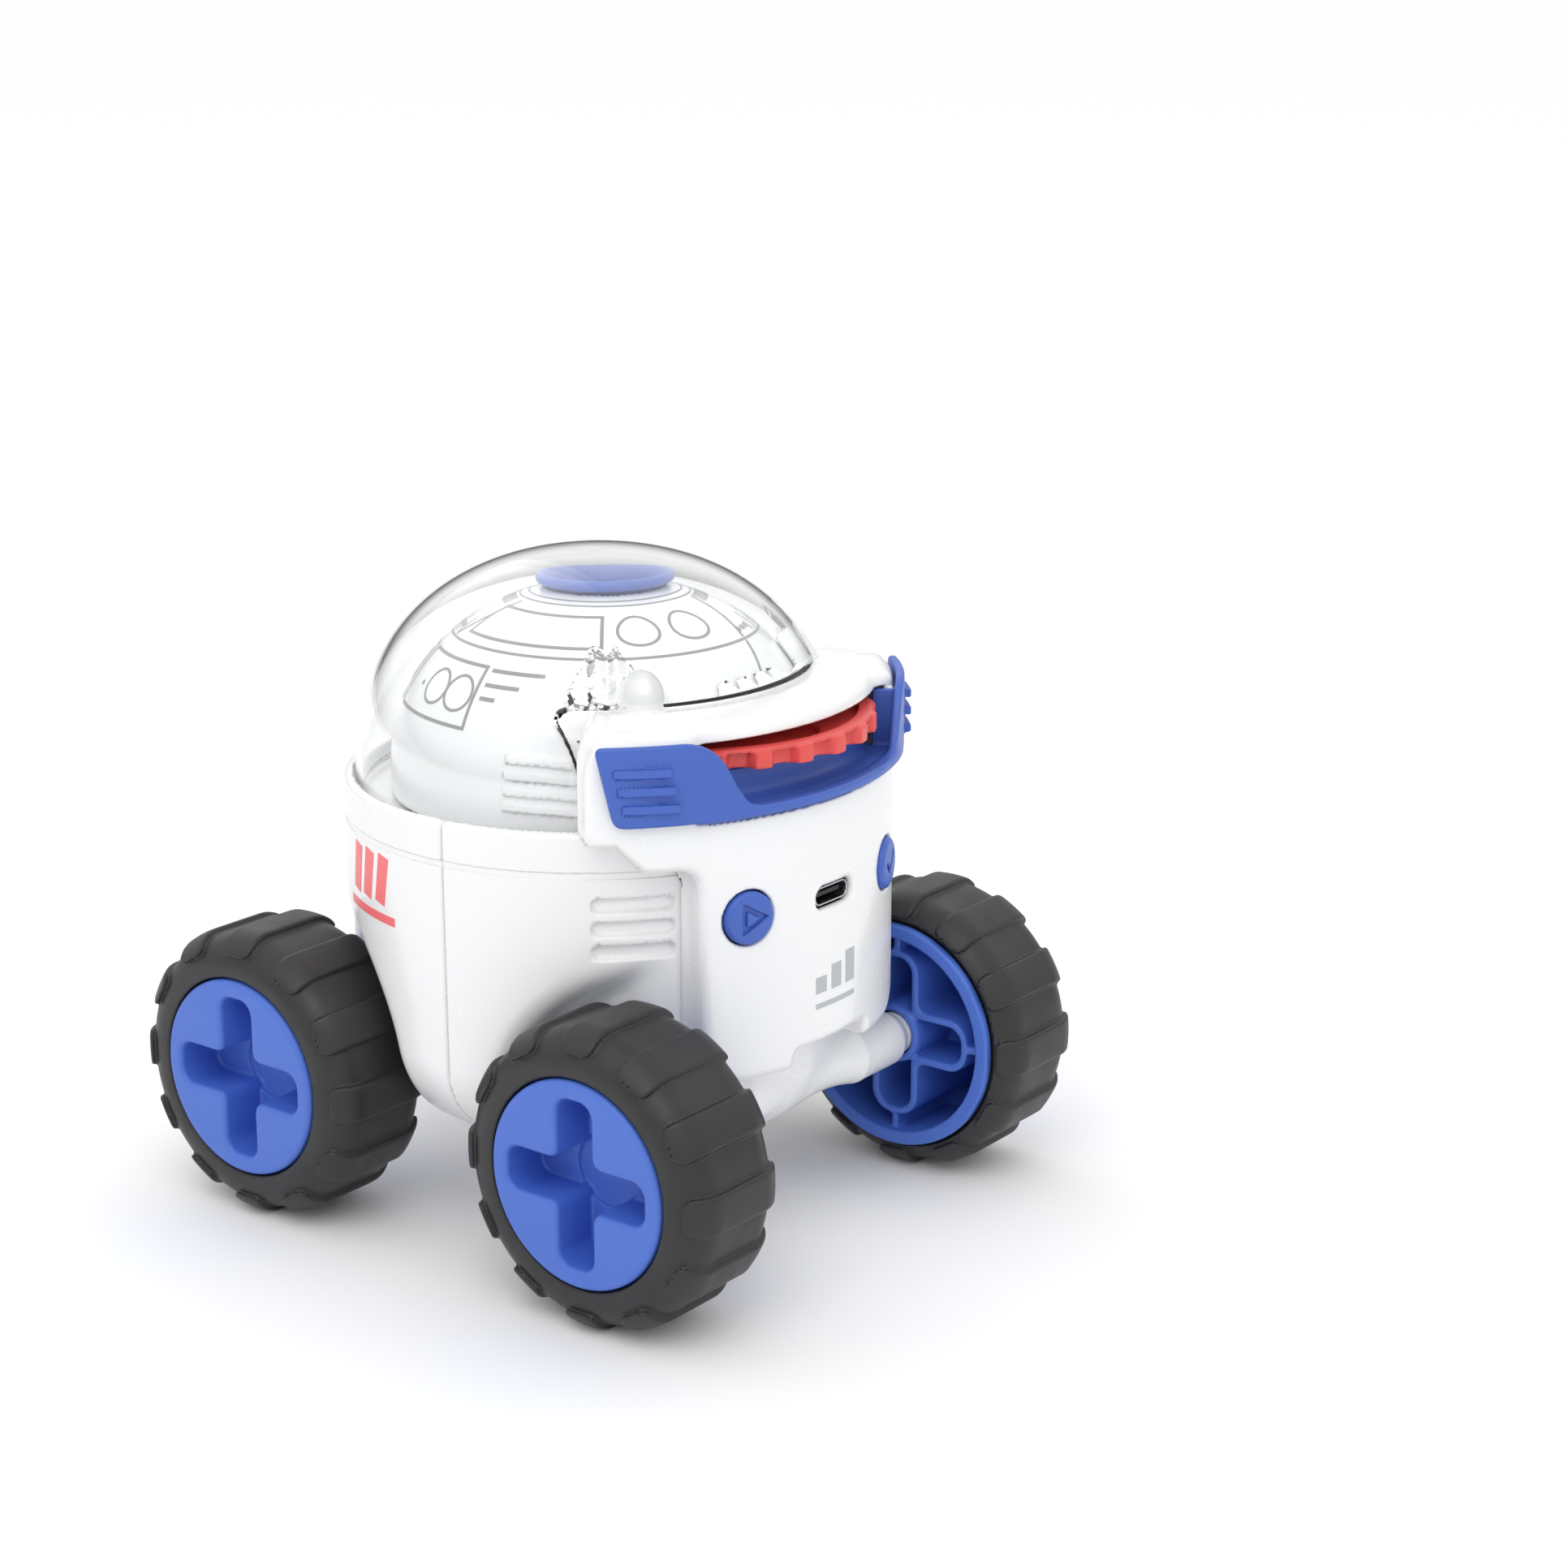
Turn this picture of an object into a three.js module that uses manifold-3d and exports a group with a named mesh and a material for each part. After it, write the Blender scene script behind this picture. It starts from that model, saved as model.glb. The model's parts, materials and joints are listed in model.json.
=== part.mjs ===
// Rover-shaped picture projector: a clear-domed toy car on four free-rolling wheels.
// Millimetres, +Z up, front towards -Y. The origin is on the ground, midway between the four wheels.
// A "heading" is an angle in degrees about the body's upright axis, from the front (-Y) towards +X.
import * as THREE from "three";
import { mergeVertices } from "three/addons/utils/BufferGeometryUtils.js";
import Module from "manifold-3d";

// ---- body ----
const BODY_Y = 2; // the body's axis stands just behind the middle of the wheelbase
const BODY_R = 43.4;
const BODY_SIDES = 32; // of the round body and domes
const WALL = 2;
const GAP = 0.3; // between pieces that rest on each other
const BELLY_Z = 14.5;
const BELLY_R = 14; // flat under the bowl
const BELLY_SHIFT = 3; // the belly sits this much further forward than the collar
const BOWL_Z = 33.4; // the bowl curves in below this height
const COLLAR_Z = 75.3;
const SEAM_Y = -1.7; // the two half shells meet here
const DECK_Z = 70;
const DECK_T = 2;

// ---- wheels ----
const WHEEL_R = 25.3;
const LUG_H = 0.9;
const LUGS = 12;
const LUG_W = 6.4;
const HALF_BASE = 37.7;
const HUB_OUT_X = 53.5;
const HUB_IN_X = 30.8;
const RIM_R = 19;
const FACE_R = 17.2;
const FLANGE_R = 20.4;
const PLUS_REACH = 14;
const PLUS_HALF = 3.6;
const PLUS_FLOOR_X = 44.2;
const ARCH_R = 27.2;
const ARCH_X = 29.5;
const ARM_R = 3.8;
const ARM_ROOT_R = 4.9;
const ARM_END_X = 33.4;
const BUSH_R = 2.4;
const PIN_R = 1.5;
const PIN_END_X = 41; // the pin is pressed into the hub's boss, short of the plus's floor
const RUN = 0.06; // running clearance on the radius

// ---- front module ----
const PANEL_R = 50.7;
const PANEL_HALF = 30.8; // degrees
const PANEL_Z0 = 33.6;
const SHOULDER_Z = 70.2;
const VISOR_R = 52.3;
const VISOR_HALF = 50; // degrees
const VISOR_Z0 = 78.2;
const VISOR_Z1 = 91.5;
const TRAY_T = 1.6;
const COWL_R = 50.3;
const COWL_HALF = 51.5; // degrees
const COWL_Z1 = 93.3;
const LIP_R = 47.6;
const LIP_Z0 = 89.8;
const CONTROL_Z = 61.4; // buttons and charging socket
const BUTTON_HEADING = 21.5;
const BUTTON_R = 4.45;

// ---- domes: radius a, height c above z, exponent n, wall t, centre y, foot of the skirt ----
const DOME = { a: 41.4, c: 36.3, z: 76.4, n: 2.18, t: 1.2, y: BODY_Y, skirt: 73 };
const COVER = { a: 36.8, c: 32.4, z: 75, n: 2.11, t: 1.4, y: 0, skirt: 72.6 };
const MOUTH_X = 32.5; // half width of the clear dome's front opening
const BEZEL_R = 11.5;
const BEZEL_Z = 107.5;

// ---- picture dial ----
const DIAL_Y = -19.6;
const DIAL_R = 30;
const DIAL_TEETH = 24;
const DIAL_Z0 = 85.2;
const DIAL_Z1 = 88.5;
const PICTURES = 6;
const FAIRING_Z = 89.5; // top of the cover's bulge round the dial

// ---- rear door ----
const DOOR_X = 19.2;
const DOOR_Z0 = 33.4;
const DOOR_Z1 = 65.8;
const DOOR_CORNER = 3.4;

// ---- materials ----
const plastic = (color, roughness) =>
  new THREE.MeshStandardMaterial({ color, roughness, metalness: 0 });
const metal = (color, roughness) =>
  new THREE.MeshStandardMaterial({ color, roughness, metalness: 1 });
const WHITE = plastic(0xf4f4f5, 0.3);
const BLUE = plastic(0x3457b8, 0.4);
const RED = plastic(0xe84a4a, 0.4);
const BLACK = plastic(0x101112, 0.5);
const GREEN = plastic(0x1d6b3c, 0.5);
const RUBBER = plastic(0x2e2e2f, 0.6);
const STEEL = metal(0xb8babd, 0.3);
const BRONZE = metal(0xb08d57, 0.4);
const CLEAR = new THREE.MeshStandardMaterial({
  color: 0xffffff, roughness: 0.04, metalness: 0, opacity: 0.25, transparent: true,
});

// ---- solids: three.js geometry in and out of manifold-3d ----
const wasm = await Module();
wasm.setup();

function signedVolume(position, index) {
  const corners = [new THREE.Vector3(), new THREE.Vector3(), new THREE.Vector3()];
  let sum = 0;
  for (let i = 0; i < index.length; i += 3) {
    corners.forEach((corner, k) => corner.fromBufferAttribute(position, index[i + k]));
    const [a, b, c] = corners;
    sum += a.dot(b.cross(c)) / 6;
  }
  return sum;
}

// A closed geometry as a solid, turned right side out.
function solid(geometry) {
  const bare = new THREE.BufferGeometry();
  bare.setAttribute("position", geometry.getAttribute("position"));
  bare.setIndex(geometry.index);
  const merged = mergeVertices(bare, 1e-4);
  const position = merged.getAttribute("position");
  const triVerts = new Uint32Array(merged.index.array);
  if (signedVolume(position, triVerts) < 0) triVerts.reverse();
  const vertProperties = new Float32Array(position.array);
  return new wasm.Manifold(new wasm.Mesh({ numProp: 3, vertProperties, triVerts }));
}

function geometryOf(manifold) {
  const mesh = manifold.getMesh();
  const geometry = new THREE.BufferGeometry();
  geometry.setAttribute("position", new THREE.BufferAttribute(mesh.vertProperties, 3));
  geometry.setIndex(new THREE.BufferAttribute(mesh.triVerts, 1));
  geometry.computeVertexNormals();
  return geometry;
}

const join = (...all) => all.reduce((sum, piece) => sum.add(piece));
const cut = (from, ...tools) => tools.reduce((left, tool) => left.subtract(tool), from);

// ---- basic shapes ----
const rad = THREE.MathUtils.degToRad;
const SIDES = [-1, 1];

// The point at radius r and a heading about the body's axis.
const onBody = (r, heading) => [
  r * Math.sin(rad(heading)),
  BODY_Y - r * Math.cos(rad(heading)),
];

// A span of headings on one side of the body.
const span = (side, from, to) => (side > 0 ? [from, to] : [-to, -from]);

function extruded(points, depth) {
  const shape = new THREE.Shape(points.map(([x, y]) => new THREE.Vector2(x, y)));
  return new THREE.ExtrudeGeometry(shape, { depth, bevelEnabled: false });
}

// Prisms along each axis: outlines are given in (x, y), in (y, z) and in (x, z).
const prismZ = (points, z0, z1) => solid(extruded(points, z1 - z0).translate(0, 0, z0));
const prismX = (points, x0, x1) =>
  solid(extruded(points, x1 - x0).rotateX(Math.PI / 2).rotateZ(Math.PI / 2).translate(x0, 0, 0));
const prismY = (points, y0, y1) =>
  solid(extruded(points, y1 - y0).rotateX(Math.PI / 2).translate(0, y1, 0));

const box = (x0, x1, y0, y1, z0, z1) =>
  solid(
    new THREE.BoxGeometry(x1 - x0, y1 - y0, z1 - z0)
      .translate((x0 + x1) / 2, (y0 + y1) / 2, (z0 + z1) / 2),
  );

// Part of a ring about the body's axis, between two radii and two headings.
const STEP_DEG = 8;
function sector(r0, r1, [from, to], z0, z1) {
  const steps = Math.max(1, Math.ceil((to - from) / STEP_DEG));
  const arc = (r, a, b) =>
    Array.from({ length: steps + 1 }, (_, i) => onBody(r, a + ((b - a) * i) / steps));
  return prismZ([...arc(r1, from, to), ...arc(r0, to, from)], z0, z1);
}

// A closed [radius, height] profile turned about the upright line through (0, y).
function turned(profile, y = 0, segments = 32) {
  const points = [...profile, profile[0]].map(([r, h]) => new THREE.Vector2(r, h));
  return solid(new THREE.LatheGeometry(points, segments).rotateX(Math.PI / 2).translate(0, y, 0));
}

// A closed [radius, x] profile turned about the X axis.
function turnedX(profile, segments = 20) {
  const points = [...profile, profile[0]].map(([r, h]) => new THREE.Vector2(r, h));
  return solid(new THREE.LatheGeometry(points, segments).rotateZ(-Math.PI / 2));
}

// Round bars: upright at [x, y], along X at [y, z], and along Y at [x, z].
const cylinder = (r, length, segments) => new THREE.CylinderGeometry(r, r, length, segments);
const barZ = (r, z0, z1, [x, y], segments = 16) =>
  solid(cylinder(r, z1 - z0, segments).rotateX(Math.PI / 2).translate(x, y, (z0 + z1) / 2));
const barX = (r, x0, x1, [y, z], segments = 20) =>
  solid(cylinder(r, x1 - x0, segments).rotateZ(Math.PI / 2).translate((x0 + x1) / 2, y, z));
const barY = (r, y0, y1, [x, z], segments = 12) =>
  solid(cylinder(r, y1 - y0, segments).translate(x, (y0 + y1) / 2, z));

// A round bar that points out of the body along a heading, between two radii.
function spoke(r, r0, r1, heading, z, segments = 20) {
  const bar = cylinder(r, r1 - r0, segments).translate(0, -(r0 + r1) / 2, 0);
  return solid(bar.rotateZ(rad(heading)).translate(0, BODY_Y, z));
}

// A rectangle's outline with rounded corners.
function rounded(x0, x1, z0, z1, r, steps = 3) {
  const corner = (x, z, start) =>
    Array.from({ length: steps + 1 }, (_, i) => {
      const a = rad(start + (90 * i) / steps);
      return [x + r * Math.cos(a), z + r * Math.sin(a)];
    });
  return [
    ...corner(x1 - r, z0 + r, 270), ...corner(x1 - r, z1 - r, 0),
    ...corner(x0 + r, z1 - r, 90), ...corner(x0 + r, z0 + r, 180),
  ];
}

// ---- the scene graph ----
const root = new THREE.Group();
function add(name, shape, material, parent = root) {
  const mesh = new THREE.Mesh(geometryOf(shape), material);
  mesh.name = name;
  parent.add(mesh);
}

// ---- body shells ----
// The body's outside drawn in by `inset`: a drum on a bowl whose belly leans forward.
function bodySolid(inset, top) {
  const steps = 4;
  const r = BODY_R - inset;
  const floor = BELLY_Z + inset;
  const curve = Array.from({ length: steps + 1 }, (_, i) => {
    const a = ((Math.PI / 2) * (steps - i)) / steps;
    return [BELLY_R + (r - BELLY_R) * Math.cos(a), BOWL_Z - (BOWL_Z - floor) * Math.sin(a)];
  });
  const points = [[0, floor], ...curve, [r, top], [0, top]].map(([x, y]) => new THREE.Vector2(x, y));
  const geometry = new THREE.LatheGeometry(points, BODY_SIDES).rotateX(Math.PI / 2);
  const position = geometry.getAttribute("position");
  for (let i = 0; i < position.count; i++) {
    const drop = Math.max(0, BOWL_Z - position.getZ(i)) / (BOWL_Z - BELLY_Z);
    position.setY(i, BODY_Y + position.getY(i) - BELLY_SHIFT * drop);
  }
  return solid(geometry);
}

// Four drums, one over each wheel, that reach in to x = inner.
function archDrums(r, inner) {
  const outer = BODY_R + 10;
  return join(...[-HALF_BASE, HALF_BASE].flatMap((y) => [
    barX(r, inner, outer, [y, WHEEL_R]), barX(r, -outer, -inner, [y, WHEEL_R]),
  ]));
}

const VENT_ROWS = [55.4, 59.3, 63.2];
const VENT_H = 2.3;
const VENT_DEPTH = 1.2;
const VENT_HEADINGS = [[33.4, 51.2], [134.7, 150.2]];
// Blind slots moulded into the drum.
function vents() {
  return join(...VENT_ROWS.flatMap((z) => VENT_HEADINGS.flatMap(([from, to]) => SIDES.map((side) =>
    sector(BODY_R - VENT_DEPTH, BODY_R + 1, span(side, from, to), z - VENT_H / 2, z + VENT_H / 2)))));
}

// Two stub arms that carry an axle end each, for the wheels at y.
function axleArms(y) {
  const root = 17.5; // the arm tapers from here into the bowl
  const arm = turnedX([
    [0, 7], [ARM_ROOT_R, root], [ARM_ROOT_R, 27], [ARM_R, 31], [ARM_R, ARM_END_X], [0, ARM_END_X],
  ], 16);
  return SIDES.map((side) => (side > 0 ? arm : arm.rotate([0, 0, 180])).translate([0, y, WHEEL_R]));
}
const axleBores = (y) => [
  barX(BUSH_R + RUN, 19.5, ARM_END_X + 1, [y, WHEEL_R], 16),
  barX(BUSH_R + RUN, -ARM_END_X - 1, -19.5, [y, WHEEL_R], 16),
];

const SCREWS = [[-9, 7], [9, 7], [-9, -8.5], [9, -8.5]];
const doorOutline = (grow) =>
  rounded(-DOOR_X - grow, DOOR_X + grow, DOOR_Z0 - grow, DOOR_Z1 + grow, DOOR_CORNER);

function bodyShells() {
  const seat = turned([
    [0, DECK_Z + 1], [DOME.a + GAP, DOME.skirt - GAP], [DOME.a + GAP, 90], [0, 90],
  ], BODY_Y, BODY_SIDES);
  const cavity = cut(bodySolid(WALL, COLLAR_Z + 1), archDrums(ARCH_R + WALL, ARCH_X - WALL));
  const shell = cut(
    bodySolid(0, COLLAR_Z), cavity, seat, archDrums(ARCH_R, ARCH_X), vents(),
    prismY(doorOutline(GAP), 35, 50),
    prismY(rounded(-5.2, 5.2, CONTROL_Z - 2.4, CONTROL_Z + 2.4, 2), -48, -38),
    ...SIDES.map((side) => spoke(3.2, BODY_R - 4, BODY_R + 2, side * BUTTON_HEADING, CONTROL_Z, 12)),
  );
  const screwHoles = SCREWS.map((at) => join(barZ(1.3, 12, 20, at, 10), barZ(2.3, 12, 15.7, at, 10)));
  const half = (y0, y1, armY) => {
    const wall = shell.intersect(box(-60, 60, y0, y1, 0, 120));
    return cut(join(wall, ...axleArms(armY)), ...axleBores(armY), ...screwHoles);
  };
  add("rear_shell", half(SEAM_Y + GAP / 2, 60, HALF_BASE), WHITE);
  add("front_shell", half(-60, SEAM_Y - GAP / 2, -HALF_BASE), WHITE);
}

// ---- wheels, in a frame whose x runs outwards along the axle ----
// A plus outline with rounded arm ends.
function plus(reach, half, end) {
  const arm = [[half, -half], [reach - end, -half], [reach, end - half], [reach, half - end], [reach - end, half]];
  return [0, 1, 2, 3].flatMap((turn) => {
    const [c, s] = [Math.cos((turn * Math.PI) / 2), Math.sin((turn * Math.PI) / 2)];
    return arm.map(([x, y]) => [x * c - y * s, x * s + y * c]);
  });
}

function hub() {
  const skin = 1.4; // of the plus-shaped cup
  const inside = FACE_R - 1.6;
  const backX = HUB_OUT_X - 2.2; // the face's back
  const rim = turnedX([
    [18.2, HUB_IN_X], [FLANGE_R, HUB_IN_X], [FLANGE_R, 32.6], [RIM_R, 32.6], [RIM_R, 49.3],
    [FACE_R, 50.4], [FACE_R, HUB_OUT_X - 0.4], [FACE_R - 0.4, HUB_OUT_X], [0, HUB_OUT_X],
    [0, backX], [inside, backX], [17.6, 48.6],
  ]);
  const cup = prismX(plus(PLUS_REACH + skin, PLUS_HALF + skin, 2.6), 33, backX + 1);
  const ribs = [box(33, backX + 1, -0.6, 0.6, -17, 17), box(33, backX + 1, -17, 17, -0.6, 0.6)];
  const boss = barX(5.4, 31.4, PLUS_FLOOR_X - 1, [0, 0], 12);
  const backOfCup = cut(
    prismX(plus(PLUS_REACH - 0.4, PLUS_HALF - 0.3, 2), 30, PLUS_FLOOR_X - 1.6), boss,
  );
  return cut(
    cut(join(rim, cup, ...ribs, boss), backOfCup),
    prismX(plus(PLUS_REACH, PLUS_HALF, 2.6), PLUS_FLOOR_X, HUB_OUT_X + 1),
    barX(ARM_R + GAP, 30, ARM_END_X + GAP, [0, 0], 12),
    barX(PIN_R + RUN, 30, PIN_END_X + GAP, [0, 0], 12),
  );
}

function tyre() {
  const seat = 0.2; // the rubber sits this far off the hub
  const base = WHEEL_R - LUG_H;
  const carcass = turnedX([
    [FLANGE_R + GAP, 31.6], [22.6, 31.6], [base, 35.6], [base, 48], [22.8, 51.6], [18.4, 53.1],
    [FACE_R + seat, 52.8], [FACE_R + seat, 50.8], [RIM_R + seat, 49.6], [RIM_R + seat, 32.9],
    [FLANGE_R + GAP, 32.9],
  ]);
  const lugProfile = [[32.6, 21.8], [35.8, WHEEL_R], [48.2, WHEEL_R], [51.6, 21.8]];
  const lug = extruded(lugProfile, LUG_W).rotateX(Math.PI / 2).translate(0, LUG_W / 2, 0);
  const turns = Array.from({ length: LUGS }, (_, i) => rad((360 * i) / LUGS));
  return join(carcass, ...turns.map((a) => solid(lug.clone().rotateX(a))));
}

const axlePin = () => barX(PIN_R, 20, PIN_END_X, [0, 0], 12);

function axleBush() {
  return turnedX([
    [PIN_R + RUN, 20], [BUSH_R, 20], [BUSH_R, ARM_END_X - GAP], [PIN_R + RUN, ARM_END_X - GAP],
  ], 12);
}

function wheels() {
  const pieces = [
    ["tyre", tyre(), RUBBER], ["hub", hub(), BLUE],
    ["axle_pin", axlePin(), STEEL], ["axle_bush", axleBush(), BRONZE],
  ];
  const ends = [["front", -HALF_BASE], ["rear", HALF_BASE]];
  for (const [end, y] of ends)
    for (const side of SIDES) {
      const corner = new THREE.Group();
      corner.position.set(0, y, WHEEL_R);
      corner.rotation.z = side > 0 ? 0 : Math.PI;
      root.add(corner);
      const place = `${end}_${side > 0 ? "right" : "left"}`;
      for (const [name, shape, material] of pieces) add(`${name}_${place}`, shape, material, corner);
    }
}

// ---- front module ----
function frontPanel() {
  const inner = BODY_R + GAP;
  const top = VISOR_Z0 - GAP;
  const halfX = onBody(PANEL_R, PANEL_HALF)[0] + 0.5;
  const side = (s) => sector(inner, PANEL_R, span(s, PANEL_HALF - 2.4, PANEL_HALF), PANEL_Z0, top);
  const wall = join(
    sector(PANEL_R - WALL, PANEL_R, [-PANEL_HALF, PANEL_HALF], PANEL_Z0, top), side(-1), side(1),
  );
  const face = wall.intersect(prismY(rounded(-halfX, halfX, PANEL_Z0, top + 8, 8), -60, 0));
  const shoulders = SIDES.flatMap((s) => [
    sector(inner, PANEL_R - 0.6, span(s, PANEL_HALF - 2, 42.5), SHOULDER_Z, top),
    sector(inner, PANEL_R - 1.2, span(s, 41, VISOR_HALF), COLLAR_Z - 1.4, top),
  ]);
  const buttonHoles = SIDES.map((s) =>
    spoke(BUTTON_R + GAP, BODY_R + 1, PANEL_R + 4, s * BUTTON_HEADING, CONTROL_Z));
  add("front_panel", cut(
    join(face, ...shoulders), ...buttonHoles,
    prismY(rounded(-5, 5, CONTROL_Z - 2.1, CONTROL_Z + 2.1, 2), -60, -40),
    box(-9.5, 9.5, -60, -40, 30, PANEL_Z0 + 3),
  ), WHITE);
}

// The cowl roofs the picture dial and leaves the dial's teeth open to a thumb.
function frontCowl() {
  const floor = VISOR_Z0 + GAP;
  const brow = COWL_Z1 - 1;
  const roof = join(
    sector(28, LIP_R, [-COWL_HALF, COWL_HALF], LIP_Z0, COWL_Z1),
    sector(28, DOME.a - 4, [-60, 60], LIP_Z0, COWL_Z1).intersect(
      box(GAP - MOUTH_X, MOUTH_X - GAP, -60, -17, LIP_Z0, COWL_Z1)),
  );
  const cheeks = SIDES.flatMap((side) => [
    sector(COWL_R - 1.8, COWL_R, span(side, 31, COWL_HALF), floor, brow),
    sector(42.6, COWL_R, span(side, 49.8, COWL_HALF), floor, brow),
    sector(40, COWL_R - 1, span(side, 31, COWL_HALF), LIP_Z0, brow),
  ]);
  const bosses = SIDES.map((side) => {
    const [x, y] = onBody(32.6, side * 37);
    return solid(new THREE.SphereGeometry(2.4, 10, 6).scale(1, 1, 1.5).translate(x, y, COWL_Z1 - 0.6));
  });
  add("front_cowl", cut(join(roof, ...cheeks, ...bosses), domeSolid(COVER, GAP)), WHITE);
}

function visor() {
  const opening = 25.5;
  const trayHalf = 30.2;
  const tray = VISOR_Z0 + TRAY_T;
  const band = cut(
    sector(COWL_R + GAP, VISOR_R, [-VISOR_HALF, VISOR_HALF], VISOR_Z0, VISOR_Z1),
    sector(40, 60, [-opening, opening], tray, 100),
  );
  const floor = sector(43.8, VISOR_R, [-trayHalf, trayHalf], VISOR_Z0, tray);
  const backWall = sector(43.8, 45.2, [-trayHalf, trayHalf], VISOR_Z0, DIAL_Z0 - GAP);
  const ribs = SIDES.flatMap((side) => [81.2, 84.4, 87.6].map((z) =>
    sector(VISOR_R - 0.5, VISOR_R + 1, span(side, 36, 46), z, z + 1.2)));
  add("visor", join(band, floor, backWall, ...ribs), BLUE);
}

// ---- domes ----
// A superellipse dome filled to the axis, grown by `grow`.
function domeSolid(d, grow, foot = d.skirt) {
  const steps = 5;
  const curve = Array.from({ length: steps + 1 }, (_, i) => {
    const a = ((Math.PI / 2) * i) / steps;
    const power = 2 / d.n;
    return [(d.a + grow) * Math.cos(a) ** power, d.z + (d.c + grow) * Math.sin(a) ** power];
  });
  curve[steps][0] = 0;
  return turned([[0, foot], [d.a + grow, foot], ...curve], d.y, BODY_SIDES);
}
const domeShell = (d) => cut(domeSolid(d, 0), domeSolid(d, -d.t, d.skirt - 5));

// A clear wedge inside the dome that hooks over the cowl.
function domeLug(side) {
  const profile = [[32.6, 93.8], [36, 93.8], [34.2, 98.2], [29, 101.8], [27.4, 101.8], [30.4, 96.8]];
  const [thick, heading] = [4.6, 47.5];
  const wedge = extruded(profile, thick).rotateX(Math.PI / 2).translate(0, thick / 2, 0);
  return solid(wedge.rotateZ(rad(side * heading - 90)).translate(0, BODY_Y, 0));
}

function domes() {
  const mouth = box(-MOUTH_X, MOUTH_X, -60, BODY_Y, 60, COWL_Z1 + GAP);
  const lugs = SIDES.map((side) => domeLug(side).intersect(domeSolid(DOME, -DOME.t / 2)));
  add("clear_dome", join(cut(domeShell(DOME), mouth), ...lugs), CLEAR);

  const fairing = barZ(DIAL_R + 1.2, COVER.skirt, FAIRING_Z, [0, DIAL_Y], 32).intersect(
    join(domeSolid(DOME, -DOME.t - GAP, 60), box(2 * GAP - MOUTH_X, MOUTH_X - 2 * GAP, -60, -23, 60, 100)));
  const dialRoom = barZ(DIAL_R + GAP, 60, DIAL_Z1 + GAP, [0, DIAL_Y], 32);
  const front = box(-60, 60, -60, -24, 60, LIP_Z0 + 0.6);
  const lightHole = barZ(BEZEL_R - 1.5, 95, 120, [0, 0], 24);
  add("projector_cover", cut(
    join(domeSolid(COVER, 0), fairing), domeSolid(COVER, -COVER.t, 60), dialRoom, front, lightHole,
  ), WHITE);
}

// ---- projector: a lamp under the dial, the lens over it, and the bezel on top ----
function pictureDial() {
  const [web0, web1] = [DIAL_Z0 + 0.8, DIAL_Z0 + 2.2];
  const rim = DIAL_R - 1.6;
  const disc = turned([
    [PIN_R + RUN, web0], [rim - 1.6, web0], [rim - 1.6, DIAL_Z0], [rim, DIAL_Z0], [rim, DIAL_Z1],
    [rim - 1.6, DIAL_Z1], [rim - 1.6, web1], [PIN_R + RUN, web1],
  ], DIAL_Y, DIAL_TEETH);
  const tooth = new THREE.BoxGeometry(2.8, 2.4, DIAL_Z1 - DIAL_Z0);
  tooth.translate(0, 1.2 - DIAL_R, (DIAL_Z0 + DIAL_Z1) / 2);
  const turns = Array.from({ length: DIAL_TEETH }, (_, i) => rad((360 * i) / DIAL_TEETH));
  const teeth = turns.map((a) => solid(tooth.clone().rotateZ(a).translate(0, DIAL_Y, 0)));
  const windows = Array.from({ length: PICTURES }, (_, i) => {
    const a = (Math.PI * 2 * i) / PICTURES;
    return barZ(4.6, 80, 95, [DIAL_Y * Math.sin(a), DIAL_Y - DIAL_Y * Math.cos(a)], 8);
  });
  return cut(join(disc, ...teeth), ...windows);
}

function projector() {
  const deckR = BODY_R - WALL - GAP;
  const deckTop = DECK_Z + DECK_T + GAP;
  add("projector_deck", barZ(deckR, DECK_Z, DECK_Z + DECK_T, [0, BODY_Y], BODY_SIDES), WHITE);
  add("lamp_board", barZ(8, deckTop, deckTop + 1.6, [0, 0]), GREEN);
  add("lamp_housing", turned([[2.6, 74.5], [7, 74.5], [7, 84.6], [5, 84.6]], 0, 16), BLACK);
  add("dial_spindle", turned([
    [0, deckTop], [3.4, deckTop], [3.4, DIAL_Z0 - 0.2], [PIN_R, DIAL_Z0 - 0.2],
    [PIN_R, LIP_Z0 - GAP], [0, LIP_Z0 - GAP],
  ], DIAL_Y, 16), STEEL);
  add("picture_dial", pictureDial(), RED);
  add("lens_barrel", turned([[7.2, 90.4], [8.6, 90.4], [8.6, 104.5], [7.2, 104.5]], 0, 20), BLACK);
  add("lens", turned([[0, 98.2], [6.9, 99.2], [6.9, 101], [0, 103.4]], 0, 16), CLEAR);
  add("bezel", turned([
    [8.9, 104.4], [9.7, 104.4], [9.7, 106.9], [BEZEL_R, 106.9], [BEZEL_R, BEZEL_Z + 0.3],
    [10.4, BEZEL_Z + 0.9], [8.9, BEZEL_Z],
  ], 0, 24), BLUE);
}

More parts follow.
